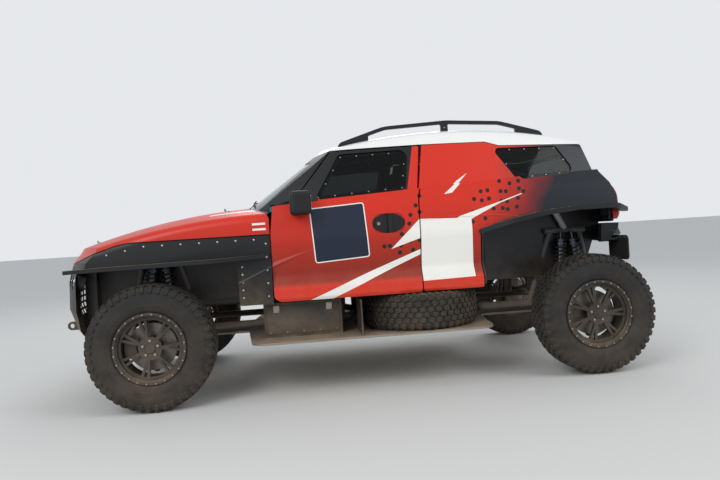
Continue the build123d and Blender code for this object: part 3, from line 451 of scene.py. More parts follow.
def tyre_shape(bm):
    """Adds one tyre to a bmesh, turned about the Y axis through the origin."""
    outline = [bm.verts.new((radius, across, 0)) for radius, across in CARCASS]
    outline += [bm.verts.new((radius, -across, 0)) for radius, across in CARCASS[-2::-1]]
    edges = [bm.edges.new(pair) for pair in zip(outline, outline[1:] + outline[:1])]
    bmesh.ops.spin(bm, geom=outline + edges, axis=(0, 1, 0), angle=2 * pi, steps=96, use_merge=True)
    bmesh.ops.remove_doubles(bm, verts=bm.verts, dist=1e-5)
    for half in (1, -1):
        for across, length, width, shift, tilt, radius in BLOCKS:
            start = shift if half > 0 else (shift + 0.5) % 1
            cube = bmesh.ops.create_cube(bm, size=1)["verts"]
            bmesh.ops.scale(bm, vec=(length, width, TREAD_DEPTH + 0.006), verts=cube)
            lug = list(set(bmesh.ops.bevel(bm, geom=linked(cube), affect="EDGES", offset=BLOCK_EASE, segments=1,
                                           profile=0.5, material=-1)["verts"]))
            turns = ((half * radians(BLOCK_SLANT), "Z", (0, 0, 0)),
                     (-half * radians(tilt), "X", (0, half * across, radius - 0.003)),
                     (2 * pi * start / PITCHES, "Y", (0, 0, 0)))
            for angle, axis, shift_by in turns:
                bmesh.ops.rotate(bm, matrix=Matrix.Rotation(angle, 3, axis), verts=lug)
                bmesh.ops.translate(bm, vec=shift_by, verts=lug)
            bmesh.ops.spin(bm, geom=lug + linked(lug) + linked(lug, "link_faces"), axis=(0, 1, 0),
                           angle=2 * pi * (PITCHES - 1) / PITCHES, steps=PITCHES - 1, use_duplicate=True)


clean_rubber, caked_rubber = (
    surface(name, "#161617", (0.75, thick, -0.1, 1.2, 0.45, "#8F7C62"), GRAIN, (0.2, 0.001))
    for name, thick in (("carbon_black_tyre_rubber", 0.42), ("dust_caked_tyre_rubber", 0.85)))
for corner, axle, side in CORNERS:
    bm = bmesh.new()
    tyre_shape(bm)
    bmesh.ops.translate(bm, vec=(axle, side * TRACK / 2, AXLE_Z), verts=bm.verts)
    tyre = new_piece("tread_" + corner, bm, clean_rubber, "wheel_" + corner)
    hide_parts("tyre_" + corner)
SPARE_X, SPARE_Y, SPARE_Z = 0.48, 0.545, 0.492
bm = bmesh.new()
for side in (-1, 1):
    old = set(bm.verts)
    tyre_shape(bm)
    new = [vert for vert in bm.verts if vert not in old]
    bmesh.ops.rotate(bm, matrix=Matrix.Rotation(pi / 2, 3, "X"), verts=new)
    bmesh.ops.translate(bm, vec=(SPARE_X, side * SPARE_Y, SPARE_Z), verts=new)
spares = new_piece("tread_spares", bm, caked_rubber)
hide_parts("spare_tyres")

# Spare clamps: a steel stud, a washer and a nut through the hub hold each spare wheel down on the tray.
# Turned steel, zinc-plated.
bm = bmesh.new()
for side in (-1, 1):
    for low, high, radius, sides in ((0.38, 0.56, 0.01, 16), (0.494, 0.506, 0.062, 32), (0.506, 0.524, 0.02, 6)):
        rod(bm, (SPARE_X, side * SPARE_Y, low), (SPARE_X, side * SPARE_Y, high), radius, sides=sides)
new_piece("spare_clamps", bm, bolt_steel)

# Roll cage: cold-drawn tubes 44 mm across, bent and welded, powder-coated light grey.
# Black foam sleeves wrap them beside the crew's heads and shoulders.
dress(surface("light_grey_powder_coat", "#A9ABAC", (0.45, 0.35, 0.5, 1.2), GRAIN, COATED), "roll_cage")
foam = surface("closed_cell_foam", "#1C1C1D", (0.85, 0.3, 0.5, 1.2), ("TexVoronoi", {"Scale": 400}),
               (0.4, 0.001))
SLEEVES = (
    ((-0.01, 0.545, 1.5755), (0.3, 0.545, 1.608)),
    ((0.33, 0.545, 1.611), (0.52, 0.545, 1.6305)),
    ((0.605, 0.735, 0.92), (0.605, 0.735, 1.08)),
)
BORE, BEVEL, SKIN = 0.0225, 0.037, 0.041
bm = bmesh.new()
for start, end in SLEEVES:
    for side in (-1, 1):
        first, last = (Vector((x, side * y, z)) for x, y, z in (start, end))
        length = (last - first).length
        profile = ((0, BORE), (0, BEVEL), (0.004, SKIN), (length - 0.004, SKIN), (length, BEVEL),
                   (length, BORE), (0, BORE))
        turned(bm, profile, first, last - first, steps=20)
new_piece("cage_padding", bm, foam)

# Dashboard: a composite moulding with two blank screens in bezels and a panel of toggle switches.
# Everything stands a few millimetres proud of its rear face and is fixed from behind.
dress(black_composite, "dashboard")
screen_glass = surface("black_screen_glass", "#08090B", (0.06, 0.25, 0.6, 1.3), fixed={"Coat Weight": 0.5})
DASH_LEAN = -7.7
bezels, screens, knobs = bmesh.new(), bmesh.new(), bmesh.new()
for y, width, height in ((-0.37, 0.21, 0.085), (0.37, 0.19, 0.085), (0, 0.26, 0.07)):
    block(bezels, (-0.376, y, 1.065), (0.016, width, height), edge=0.004, lean=DASH_LEAN)
for y, width, height in ((-0.37, 0.19, 0.068), (0.37, 0.17, 0.068)):
    block(screens, (-0.3665, y, 1.0655), (0.004, width, height), edge=0.001, lean=DASH_LEAN)
for column in range(7):
    for row in range(2):
        spot = Vector((-0.37 + row * 0.004, -0.108 + column * 0.036, 1.05 + row * 0.03))
        collar = spot + Vector((0.006, 0, 0))
        end = spot + Vector((0.022, 0, 0.006 if column % 2 else -0.006))
        rod(knobs, spot, collar, 0.0085, sides=16)
        rod(knobs, collar, end, 0.0032, tip=0.0042, sides=10)
new_piece("dash_bezels", bezels, black_composite)
new_piece("dash_screens", screens, screen_glass)
new_piece("dash_switches", knobs, bolt_steel)

# Steering wheel: an aluminium core wrapped in suede, with a blank hub plate, six push buttons and two paddles.
# It stands on a splined quick-release boss.
suede = surface("wrapped_suede", "#0E0E0F #232325", None, ("TexNoise", {"Scale": 700, "Detail": 4}),
                (0.4, 0.0006), {"Roughness": 0.9})
dress(suede, "steering_wheel")
red_plastic = surface("moulded_red_plastic", "#B3261C", (0.35, 0.25, 0.6, 1.3))
WHEEL_LEAN = -24
WHEEL_CENTRE = Vector((-0.19, -0.37, 1.085))
BOSS = ((-0.062, 0.0205), (-0.062, 0.034), (-0.058, 0.036), (-0.048, 0.036), (-0.045, 0.03), (-0.014, 0.03),
        (-0.012, 0.0205))


def on_wheel(out, across, up):
    """A point of the steering wheel, from its hub: along its axis, to the right and up its face."""
    return WHEEL_CENTRE + leaning(WHEEL_LEAN) @ Vector((out, across, up))


plate, buttons, paddles = bmesh.new(), bmesh.new(), bmesh.new()
block(plate, on_wheel(0.0115, 0, 0), (0.009, 0.105, 0.078), edge=0.003, lean=WHEEL_LEAN)
for across in (-0.04, 0.04):
    for up in (-0.026, 0, 0.026):
        rod(buttons, on_wheel(0.015, across, up), on_wheel(0.021, across, up), 0.0065, tip=0.006, sides=16)
for side in (-1, 1):
    block(paddles, on_wheel(-0.022, side * 0.085, 0.012), (0.004, 0.075, 0.052), edge=0.0015, lean=WHEEL_LEAN)
    rod(paddles, on_wheel(-0.024, side * 0.016, 0), on_wheel(-0.022, side * 0.06, 0.008), 0.006)
turned(paddles, BOSS, WHEEL_CENTRE, leaning(WHEEL_LEAN) @ Vector((1, 0, 0)))
new_piece("wheel_hub_plate", plate, black_composite, "steering_wheel")
new_piece("wheel_buttons", buttons, red_plastic, "steering_wheel")
new_piece("wheel_paddles", paddles, damper_body, "steering_wheel")

# Controls on the floor: three studded pedals, the gear lever and handbrake with their knobs, and a foot rest.
# Turned and folded aluminium, bolted to the tub.
GEAR, BRAKE = ((-0.06, -0.1, 0.652), (-0.12, -0.1, 1)), ((0.02, -0.06, 0.652), (-0.02, -0.06, 0.93))
GAITER = ((0, 0), (0, 0.034), (0.006, 0.034), (0.01, 0.02), (0.03, 0.013), (0.03, 0))
bm = bmesh.new()
for y in (-0.485, -0.395, -0.305):
    block(bm, (-0.395, y, 0.775), (0.008, 0.062, 0.088), edge=0.002, lean=-20)
    rod(bm, (-0.4, y, 0.78), (-0.47, y, 0.972), 0.008)
    for up in (-0.022, 0, 0.022):
        for across in (-0.016, 0.016):
            stud = Vector((-0.394 - up * 0.36, y + across, 0.775 + up))
            rod(bm, stud, stud + Vector((0.006, 0, 0.002)), 0.004, sides=10)
rod(bm, (-0.47, -0.53, 0.972), (-0.47, -0.26, 0.972), 0.01)
for foot, tip in (GEAR, BRAKE):
    rod(bm, foot, tip, 0.009)
    turned(bm, GAITER, foot, (0, 0, 1))
block(bm, (-0.42, 0.37, 0.735), (0.01, 0.3, 0.16), edge=0.003, lean=-35)
for y in (0.26, 0.48):
    rod(bm, (-0.43, y, 0.655), (-0.4, y, 0.735), 0.01)
new_piece("floor_controls", bm, damper_body)
bm = bmesh.new()
for (foot, tip), radius in ((GEAR, 0.024), (BRAKE, 0.018)):
    ball = bmesh.ops.create_uvsphere(bm, u_segments=20, v_segments=12, radius=radius)["verts"]
    bmesh.ops.translate(bm, vec=tip, verts=ball)
new_piece("lever_knobs", bm, suede)

# Fire bottle: a spun aluminium cylinder painted red, lying across the floor behind the seats.
# Two steel bands hold it down and its valve points to the right.
BOTTLE = ((0, 0), (0, 0.04), (0.012, 0.06), (0.03, 0.066), (0.33, 0.066), (0.352, 0.056), (0.366, 0.03),
          (0.372, 0.018), (0.398, 0.018), (0.4, 0.012), (0.43, 0.012), (0.432, 0))
BAND = ((-0.011, 0.066), (-0.011, 0.0682), (0.011, 0.0682), (0.011, 0.066), (-0.011, 0.066))
BOTTLE_X, BOTTLE_Z = 0.76, 0.722
bm, bands = bmesh.new(), bmesh.new()
turned(bm, BOTTLE, (BOTTLE_X, -0.215, BOTTLE_Z), (0, 1, 0), steps=32)
for y in (-0.14, 0.07):
    turned(bands, BAND, (BOTTLE_X, y, BOTTLE_Z), (0, 1, 0), steps=32)
    block(bands, (BOTTLE_X, y, 0.6575), (0.15, 0.022, 0.007), edge=0.001)
new_piece("fire_bottle", bm, red_plastic)
new_piece("fire_bottle_bands", bands, bolt_steel)

# Seats: bucket shells laid up in carbon, each with three foam pads under black ribbed cloth.
# The pads are cut smaller than their covers and swell against them; they are held by hook tape.
dress(black_composite, "seats")
seat_cloth, tree, shader, coords = new_material("black_ribbed_seat_cloth", {"Sheen Weight": 0.25})
threads = add(tree, "TexBrick",
              {"Vector": coords, "Color1": linear("#1A1B1E"), "Color2": linear("#25262A"),
               "Mortar": linear("#0D0D0F"), "Scale": 90, "Mortar Size": 0.03})
dusted(tree, shader, coords, threads, 0.92, 0.35, 0.5, 1.4)
emboss(tree, shader, threads.outputs["Fac"], 0.5, 0.001, invert=True)
SEAT_Y = 0.37
# middle (x, z), size along the surface, across, thickness, lean backwards
SEAT_PADS = (
    ("base", (0.105, 0.818), 0.37, 0.33, 0.04, 1.5),
    ("back", (0.365, 1.08), 0.5, 0.32, 0.04, 75.4),
    ("head", (0.452, 1.41), 0.14, 0.26, 0.03, 75.4),
)


def as_seen(piece):
    """A new mesh of a piece as its modifiers leave it."""
    return bpy.data.meshes.new_from_object(piece.evaluated_get(bpy.context.evaluated_depsgraph_get()))


def swollen(piece, voxel=0.006, pressure=4, cap=0.01):
    """Blows a closed pad up a little with cloth, and keeps every point near where it was."""
    remesh = piece.modifiers.new("remesh", "REMESH")
    remesh.mode = "VOXEL"
    remesh.voxel_size = voxel
    bpy.context.view_layer.update()
    meshed = as_seen(piece)
    piece.modifiers.remove(remesh)
    piece.data = meshed
    rest = [vert.co.copy() for vert in meshed.vertices]
    cloth = piece.modifiers.new("cloth", "CLOTH")
    cloth.settings.use_pressure = True
    cloth.settings.uniform_pressure_force = pressure
    cloth.settings.effector_weights.gravity = 0
    for number in range(1, 21):
        scene.frame_set(number)
    puffed = as_seen(piece)
    piece.modifiers.remove(cloth)
    for vert, start in zip(puffed.vertices, rest):
        shift = vert.co - start
        vert.co = start + shift * min(1, cap / max(shift.length, 1e-9))
    piece.data = puffed
    scene.frame_set(1)


for side, hand in HANDS:
    for label, (x, z), length, width, thick, lean in SEAT_PADS:
        bm = bmesh.new()
        block(bm, (x, side * SEAT_Y, z), (length, width, thick), edge=0.014, lean=-lean)
        pad = new_piece("seat_pad_%s_%s" % (label, hand), bm, seat_cloth, smooth=radians(60))
        swollen(pad)
        pad.data.shade_smooth()

# Belts: red webbing on both seats, from the slots in the back and the seat's sides to one round buckle.
# Flat polyester straps 40 to 48 mm wide, sewn round steel fittings.
webbing = surface("woven_red_webbing", "#7A1812 #B0281E", None, ("TexWave", {"Scale": 130}),
                  (0.4, 0.001), {"Roughness": 0.75}, bands_direction="Z")


def strap(bm, points, width, lean, thick=0.003):
    """A flat strap along a route, its width laid along lean."""
    half = Vector(lean).normalized() * width / 2
    line = [bm.verts.new(Vector(point) - half) for point in points]
    edges = [bm.edges.new(pair) for pair in zip(line, line[1:])]
    sheet = bmesh.ops.extrude_edge_only(bm, edges=edges)["geom"]
    bmesh.ops.translate(bm, vec=half * 2, verts=[item for item in sheet if isinstance(item, bmesh.types.BMVert)])
    faces = [item for item in sheet if isinstance(item, bmesh.types.BMFace)]
    bmesh.ops.solidify(bm, geom=faces, thickness=thick)


SHOULDER = ((0.47, 1.328), (0.436, 1.337), (0.408, 1.332), (0.385, 1.294), (0.343, 1.142), (0.309, 1.013),
            (0.268, 0.938), (0.215, 0.896), (0.165, 0.88))
LAP = ((0.27, 0.182, 0.842), (0.252, 0.16, 0.872), (0.225, 0.11, 0.884), (0.19, 0.06, 0.886),
       (0.16, 0.03, 0.884))
CROTCH = ((0.15, 0.88), (0.08, 0.862), (0.02, 0.851))
BUCKLE = ((0, 0), (0, 0.03), (0.004, 0.033), (0.014, 0.033), (0.018, 0.03), (0.019, 0.02), (0.024, 0.018),
          (0.024, 0))
straps, buckles = bmesh.new(), bmesh.new()
for side in (-1, 1):
    seat = side * SEAT_Y
    for way in (-1, 1):
        # the shoulder straps close in from the fifth point to the buckle
        spread = [0.075 - 0.055 * max(0, number - 4) / 4 for number in range(len(SHOULDER))]
        strap(straps, [(x, seat + way * y, z) for y, (x, z) in zip(spread, SHOULDER)], 0.048, (0, 1, 0))
        strap(straps, [(x, seat + way * y, z) for x, y, z in LAP], 0.044, (1, 0, 0.15))
    strap(straps, [(x, seat, z) for x, z in CROTCH], 0.04, (0, 1, 0))
    turned(buckles, BUCKLE, (0.158, seat, 0.88), (0.35, 0, 0.94))
new_piece("belt_straps", straps, webbing, smooth=radians(50))
new_piece("belt_buckles", buckles, damper_body)

# Fenders, flares, bumpers, screen surround and roof rails: black satin gelcoat over woven carbon.
# Each is screwed to the next along its edge with dome-head screws; dust lies on everything that faces up.
CARBON = ("#101214", "#16181A")
SATIN = {"Specular IOR Level": 0.35}
black_gelcoat = woven("black_satin_gelcoat", *CARBON, 0.45, 0.3, 0.4, 1, 0.1, 0.08, SATIN)
dusty_gelcoat = woven("dusty_black_satin_gelcoat", *CARBON, 0.45, 0.5, 0.4, 1, 1.1, 0.08, SATIN)
dress(black_gelcoat, "windscreen_frame", "roof_rails")
dress(dusty_gelcoat, "front_fenders", "rear_flares", "front_bumper", "rear_bumper", "grille")
SKINS = {}


def on_skin(name, start, way):
    """Where a ray meets a CAD node, and that face's normal."""
    if name not in SKINS:
        mesh = parts[name].data
        SKINS[name] = BVHTree.FromPolygons([vert.co for vert in mesh.vertices],
                                           [tuple(face.vertices) for face in mesh.polygons])
    return SKINS[name].ray_cast(Vector(start), Vector(way))[:2]


def screw(bm, spot, normal, radius=0.0065):
    """A dome-head screw standing 3 mm out of a surface."""
    if spot:
        rod(bm, spot - normal * 0.001, spot + normal * 0.0015, radius, sides=12)
        rod(bm, spot + normal * 0.0015, spot + normal * 0.0032, radius, tip=radius * 0.5, sides=12)


# node, where the first ray starts on the right, step to the next, how many, the rays' way
SCREW_ROWS = (
    ("front_fenders", (-1.55, 1.5, 0.99), (0.115, 0, 0.02), 2, (0, -1, 0)),
    ("front_fenders", (-1.32, 1.5, 1.03), (0.115, 0, 0), 7, (0, -1, 0)),
    ("front_fenders", (-0.555, 1.5, 0.66), (0, 0, 0.085), 5, (0, -1, 0)),
    ("front_fenders", (-0.715, 1.5, 0.66), (0, 0, 0.05), 5, (0, -1, 0)),
    ("rear_flares", (0.99, 0.905, 1.5), (0.118, 0, 0), 8, (0, 0, -1)),
    ("front_bumper", (-3, 0.79, 0.47), (0, 0, 0.19), 2, (1, 0, 0)),
    ("front_bumper", (-3, 0.79, 0.86), (0, 0, 0), 1, (1, 0, 0)),
    ("rear_bumper", (3, 0.12, 0.935), (0, 0.2, 0), 4, (-1, 0, 0)),
)
RAIL_SCREWS = ((0.02, 1.705), (0.175, 1.745), (0.74, 1.745), (1.29, 1.745), (1.44, 1.705))
bm = bmesh.new()
for side in (-1, 1):
    for name, start, step, number, way in SCREW_ROWS:
        for count in range(number):
            x, y, z = (first + move * count for first, move in zip(start, step))
            screw(bm, *on_skin(name, (x, side * y, z), (way[0], side * way[1], way[2])))
    for x, z in RAIL_SCREWS:
        screw(bm, *on_skin("roof_rails", (x, side * 1.5, z), (0, -side, 0)), radius=0.005)
new_piece("panel_screws", bm, bolt_steel)


# Body panels in race colours: moulded composite shells, sprayed orange-red and fading to navy at the tail.
# White vinyl is laid over the paint on the sides, then clear lacquer; dust clings to the lower edges.
def vinyl(tree, along_car, up_car, outlines):
    """How deep a point lies in the nearest of some convex outlines, given anticlockwise in metres."""
    nearest = None
    for corners in outlines:
        depth = None
        for (x0, z0), (x1, z1) in zip(corners, corners[1:] + corners[:1]):
            run = hypot(x1 - x0, z1 - z0)
            across, along = (z0 - z1) / run, (x1 - x0) / run
            edge = calc(tree, "MULTIPLY_ADD", up_car, along, -across * x0 - along * z0)
            edge = calc(tree, "MULTIPLY_ADD", along_car, across, edge)
            if depth:
                edge = calc(tree, "MINIMUM", depth, edge)
            depth = edge
        if nearest:
            depth = calc(tree, "MAXIMUM", nearest, depth)
        nearest = depth
    return nearest


LACQUER = {"Coat Weight": 0.08, "Coat Roughness": 0.22, "Specular IOR Level": 0.35}
livery, tree, shader, coords = new_material("lacquered_race_paint", LACQUER)
place = add(tree, "SeparateXYZ", {0: coords})
x_car, y_car, z_car = (place.outputs[axis] for axis in "XYZ")
# the fade starts at the rear wheel and is navy at the tail, with a cloudy edge as a spray gun leaves it
mist = add(tree, "TexNoise", {"Vector": coords, "Scale": 5, "Detail": 4})
reach = calc(tree, "MULTIPLY_ADD", mist, 0.22, x_car)
reach = calc(tree, "MULTIPLY_ADD", z_car, -0.25, reach)
fade = ranged(tree, reach, 0.8, 1.16, 0, 1)
# painted shade: the doors' lower half is painted a darker red, standing in for the dark ground that the
# tucked-under body faces and reflects, down to the bright lip along their lower edge
sill = ranged(tree, z_car, 1.2, 0.8, 0, 0.92)
lip = ranged(tree, z_car, 0.7, 0.735, 0, 1)
painted_shade = calc(tree, "MULTIPLY", sill, lip)
# halftone dots 28 mm across on a 62 mm grid, printed in three clouds beside the arrow
CLOUDS = (
    [(0.2, 0.885), (0.44, 0.86), (0.45, 1.05), (0.2, 0.99)],
    [(0.37, 0.9), (0.45, 0.9), (0.5, 1.3), (0.4, 1.3)],
    [(0.78, 1.03), (0.9, 1.06), (1.12, 1.12), (1.22, 1.3), (1, 1.36), (0.78, 1.2)],
)
grid = add(tree, "CombineXYZ", {0: x_car, 1: z_car})
dots = add(tree, "TexVoronoi", {"Vector": grid, "Scale": 1 / 0.062, "Randomness": 0.55},
           voronoi_dimensions="2D")
dot = calc(tree, "LESS_THAN", dots.outputs["Distance"], 0.23)
centre = add(tree, "SeparateXYZ", {0: dots.outputs["Position"]})
clouds = vinyl(tree, centre.outputs["X"], centre.outputs["Y"], CLOUDS)
clouds = calc(tree, "GREATER_THAN", clouds, 0)
dot = calc(tree, "MULTIPLY", dot, clouds)
# black film covers the door frame ahead of the window, above it and behind it
FILM = (
    [(-0.5, 1.24), (-0.205, 1.258), (-0.002, 1.62), (-0.002, 1.75), (-0.5, 1.75)],
    [(-0.05, 1.56), (0.462, 1.57), (0.47, 1.75), (-0.05, 1.75)],
    [(0.38, 1.3), (0.402, 1.3), (0.478, 1.62), (0.42, 1.62)],
)
film = calc(tree, "GREATER_THAN", vinyl(tree, x_car, z_car, FILM), 0)
# white vinyl: the long slash, the arrow's two strokes, the bare panel and its curved tail, two bars on the wing
STICKERS = (
    [(-0.365, 0.59), (-0.215, 0.59), (0.46, 0.872), (0.46, 0.905), (0.02, 0.742)],
    [(0.257, 0.914), (0.455, 0.975), (0.455, 1.1)],
    [(0.635, 1.255), (0.69, 1.262), (0.825, 1.395), (0.745, 1.345)],
    [(0.452, 0.692), (0.806, 0.7), (0.806, 1.088), (0.452, 1.1)],
    [(0.7, 1.08), (0.806, 1.08), (1.03, 1.185), (1.02, 1.188), (0.72, 1.1)],
    [(1, 1.172), (1.17, 1.228), (1.16, 1.231), (1, 1.181)],
    [(-0.634, 1.089), (-0.549, 1.089), (-0.551, 1.103), (-0.635, 1.102)],
    [(-0.635, 1.123), (-0.551, 1.124), (-0.552, 1.138), (-0.636, 1.137)],
)
# and a bare bar along each edge of the bonnet's top, given as (x, distance from the middle)
BONNET_BARS = ([(-0.92, 0.66), (-0.6, 0.66), (-0.6, 0.715), (-0.92, 0.7)],)
aside = calc(tree, "ABSOLUTE", y_car)
white, bars = vinyl(tree, x_car, z_car, STICKERS), vinyl(tree, x_car, aside, BONNET_BARS)
white = calc(tree, "MAXIMUM", white, bars)
white = calc(tree, "GREATER_THAN", white, 0)
# the blank number board: a rounded navy square inside a thin white border
PLATE_MIDDLE, PLATE_HALF, PLATE_CORNER, PLATE_BORDER = (-0.075, 1.042, 0), 0.18, 0.02, 0.007
PLATE_TURN = (0, 0, radians(3.5))
board = add(tree, "Mapping", {"Vector": grid, "Location": PLATE_MIDDLE, "Rotation": PLATE_TURN},
            vector_type="TEXTURE")
folded = add(tree, "VectorMath", {0: board}, operation="ABSOLUTE")
straight = (PLATE_HALF - PLATE_CORNER, PLATE_HALF - PLATE_CORNER, 0)
folded = add(tree, "VectorMath", {0: folded, 1: straight}, operation="SUBTRACT")
folded = add(tree, "VectorMath", {0: folded, 1: (0, 0, 0)}, operation="MAXIMUM")
away = add(tree, "VectorMath", {0: folded}, operation="LENGTH").outputs["Value"]
board = calc(tree, "LESS_THAN", away, PLATE_CORNER)
field = calc(tree, "LESS_THAN", away, PLATE_CORNER - PLATE_BORDER)
# the bowl behind the door handle is painted near-black: partly the black of the moulded handle, partly painted
# shade where the recess is deep
BOWL_MIDDLE, BOWL_HALVES = (0.2505, 1.085, 0), (0.1085, 0.0655, 1)
bowl = add(tree, "Mapping", {"Vector": grid, "Location": BOWL_MIDDLE, "Scale": BOWL_HALVES},
           vector_type="TEXTURE")
bowl = add(tree, "VectorMath", {0: bowl}, operation="LENGTH").outputs["Value"]
bowl = calc(tree, "LESS_THAN", bowl, 1)
RED, VINYL_WHITE = "#D42A12", "#EFEDE6"
# what lies over the red, from the lowest layer up
LAYERS = (
    # the darker red low on the doors is painted shade
    (painted_shade, "#8A2211"),
    (fade, "#0D1520"),
    (dot, "#10161C"),
    (film, "#0E1011"),
    (white, VINYL_WHITE),
    (board, VINYL_WHITE),
    (field, "#152033"),
    # the near-black of the handle bowl is partly painted shade
    (bowl, "#141517"),
)
paint = linear(RED)
for mask, colour in LAYERS:
    paint = blended(tree, mask, paint, linear(colour))
dusted(tree, shader, coords, paint, 0.38, 0.3, 0.45, 1)
peel = add(tree, "TexNoise", {"Vector": coords, "Scale": 420, "Detail": 1})
emboss(tree, shader, peel, 0.04, 0.001)
dress(livery, "side_panels", "bonnet", "door_left", "door_right", "tailgate")

# Roof: one white composite panel, laid up in a mould, lacquered, and bonded to the cage's top tubes.
# It is hazy from handling and dusty on top.
dress(surface("lacquered_white_paint", "#EFEEEA", (0.32, 0.3, 1.3, 1.55),
              fixed={"Coat Weight": 0.6, "Coat Roughness": 0.08}), "roof_panel")


# Glass: hard-coated polycarbonate sheets 5 mm thick, the screen faintly green and the rest smoked.
# A black band is printed round each side pane; a white strip crosses the screen's top edge against the sun.
def hazed(tree, shader, coords, scale, detail, start, most):
    """Gives wiped glass a roughness that wanders from clear to its haziest."""
    film = add(tree, "TexNoise", {"Vector": coords, "Scale": scale, "Detail": detail})
    haze = ranged(tree, film, start, 0.8, 0.02, most)
    feed(tree, shader, {"Roughness": haze})


PRINT_WIDTH, SCREEN_PRINT_TOP, SUN_STRIP_FOOT, SHEET_IOR = 0.024, 1.262, 1.545, 1.25


def glazing(name, pane, screen_end):
    """Tinted sheet whose print is opaque: black round the pane, white along the top of a screen ahead of an x."""
    made, tree, shader, coords = new_material(name, {"IOR": SHEET_IOR})
    place = add(tree, "SeparateXYZ", {0: coords})
    x_car, z_car = place.outputs["X"], place.outputs["Z"]
    rear = calc(tree, "GREATER_THAN", x_car, screen_end)
    clear = vinyl(tree, x_car, z_car, [pane])
    band = calc(tree, "LESS_THAN", clear, PRINT_WIDTH)
    band = calc(tree, "MULTIPLY", band, rear)
    foot = calc(tree, "LESS_THAN", z_car, SCREEN_PRINT_TOP)
    printed = calc(tree, "MAXIMUM", band, foot)
    strip = calc(tree, "GREATER_THAN", z_car, SUN_STRIP_FOOT)
    ahead_of = calc(tree, "SUBTRACT", 1, rear)
    strip = calc(tree, "MULTIPLY", strip, ahead_of)
    tint = linear("#3C8486")
    for mask, colour in ((rear, "#5E6463"), (printed, "#0B0C0D"), (strip, "#E9E9E4")):
        tint = blended(tree, mask, tint, linear(colour))
    solid = calc(tree, "MAXIMUM", printed, strip)
    through = calc(tree, "SUBTRACT", 1, solid)
    feed(tree, shader, {"Base Color": tint, "Transmission Weight": through})
    hazed(tree, shader, coords, 14, 6, 0.45, 0.09)
    return made


DOOR_PANE = [(-0.225, 1.264), (0.39, 1.302), (0.442, 1.588), (-0.038, 1.578)]
QUARTER_PANE = [(1.175, 1.326), (1.616, 1.356), (1.505, 1.562), (1.03, 1.565)]
dress(glazing("tinted_polycarbonate_screen", QUARTER_PANE, 0.5), "fixed_glass")
dress(glazing("smoked_polycarbonate_doors", DOOR_PANE, -0.9), "door_glass_left", "door_glass_right")
dress(surface("smoked_polycarbonate_tail", "#7C8281", (0.04, 0.1, 0.8, 1),
              fixed={"Transmission Weight": 1, "IOR": SHEET_IOR}), "tailgate_glass")
SCREW_PITCH, INSET_X, INSET_Z = 0.115, 0.075, 0.13
for side, hand in HANDS:
    sheets = (("door", "door_glass_" + hand, DOOR_PANE, "door_" + hand),
              ("quarter", "fixed_glass", QUARTER_PANE, "chassis"))
    for label, node, pane, body in sheets:
        bm = bmesh.new()
        middle_x, middle_z = (sum(corner[axis] for corner in pane) / 4 for axis in (0, 1))
        for (x0, z0), (x1, z1) in zip(pane, pane[1:] + pane[:1]):
            steps = max(2, round(hypot(x1 - x0, z1 - z0) / SCREW_PITCH))
            for count in range(steps):
                x, z = x0 + (x1 - x0) * count / steps, z0 + (z1 - z0) * count / steps
                x, z = x + (middle_x - x) * INSET_X, z + (middle_z - z) * INSET_Z
                screw(bm, *on_skin(node, (x, side * 1.5, z), (0, -side, 0)), radius=0.005)
        new_piece("%s_glass_screws_%s" % (label, hand), bm, bolt_steel, body)

# Wiper: one black pressed-steel arm from a spindle in the scuttle, with a rubber blade along the screen's foot.
# It is shaped to the screen's curve and pressed on by a spring in its root.
SCREEN_FOOT, SCREEN_RISE = Vector((-0.725, 0, 1.25)), Vector((0.817, 0, 0.577))
SCREEN_OUT = Vector((-0.577, 0, 0.817))


def on_screen(along, across, lift):
    """A point just over the windscreen, from its lower edge up and from the middle to the right."""
    base = SCREEN_FOOT + SCREEN_RISE * along + Vector((0, across, 0))
    spot, normal = on_skin("fixed_glass", base + SCREEN_OUT, -SCREEN_OUT)
    return (spot or base) + SCREEN_OUT * lift


blade, arm = bmesh.new(), bmesh.new()
points = [on_screen(0.075 + 0.05 * count / 11, -0.46 + 0.07 * count, 0.007) for count in range(12)]
strap(blade, points, 0.008, SCREEN_OUT, thick=0.005)
root = on_screen(0.055, 0.12, 0.012)
rod(arm, root - SCREEN_OUT * 0.03, root + SCREEN_OUT * 0.014, 0.012)
points = [root + Vector((0, 0, 0.008)), on_screen(0.1, 0.02, 0.026), on_screen(0.106, -0.1, 0.016)]
strap(arm, points, 0.014, SCREEN_RISE, thick=0.005)
new_piece("wiper_blade", blade, boot_rubber)
new_piece("wiper_arm", arm, link_paint)

# Bonnet pins: four quick-release pins, each a steel post through a plate with a wire clip.
# The plates are riveted to the bonnet near its corners.
PIN_PLATE = ((-0.001, 0), (-0.001, 0.026), (0.002, 0.025), (0.003, 0.012), (0.003, 0))
bm = bmesh.new()
for x, y in ((-1.72, 0.42), (-0.83, 0.56)):
    for side in (-1, 1):
        spot, normal = on_skin("bonnet", (x, side * y, 2), (0, 0, -1))
        hole, reach = spot + normal * 0.012, Vector((0, 0.022, 0))
        turned(bm, PIN_PLATE, spot, normal)
        rod(bm, spot, spot + normal * 0.022, 0.006, tip=0.005)
        rod(bm, hole + reach, hole - reach, 0.0022, sides=8)
        rod(bm, hole + reach, spot + normal * 0.004 + Vector((0.03, 0.012, 0)), 0.0022, sides=8)
new_piece("bonnet_pins", bm, bolt_steel, "bonnet")

# Door locks: a round lock in each handle bowl, turned from steel and zinc-plated.
# It passes through the door's skin and is held by a spring clip inside.
LOCK = ((-0.001, 0), (-0.001, 0.013), (0.004, 0.013), (0.006, 0.011), (0.006, 0.004), (0.004, 0.003), (0.004, 0))
for side, hand in HANDS:
    bm = bmesh.new()
    turned(bm, LOCK, *on_skin("door_" + hand, (0.185, side * 1.5, 1.085), (0, -side, 0)))
    new_piece("door_lock_" + hand, bm, bolt_steel, "door_" + hand)

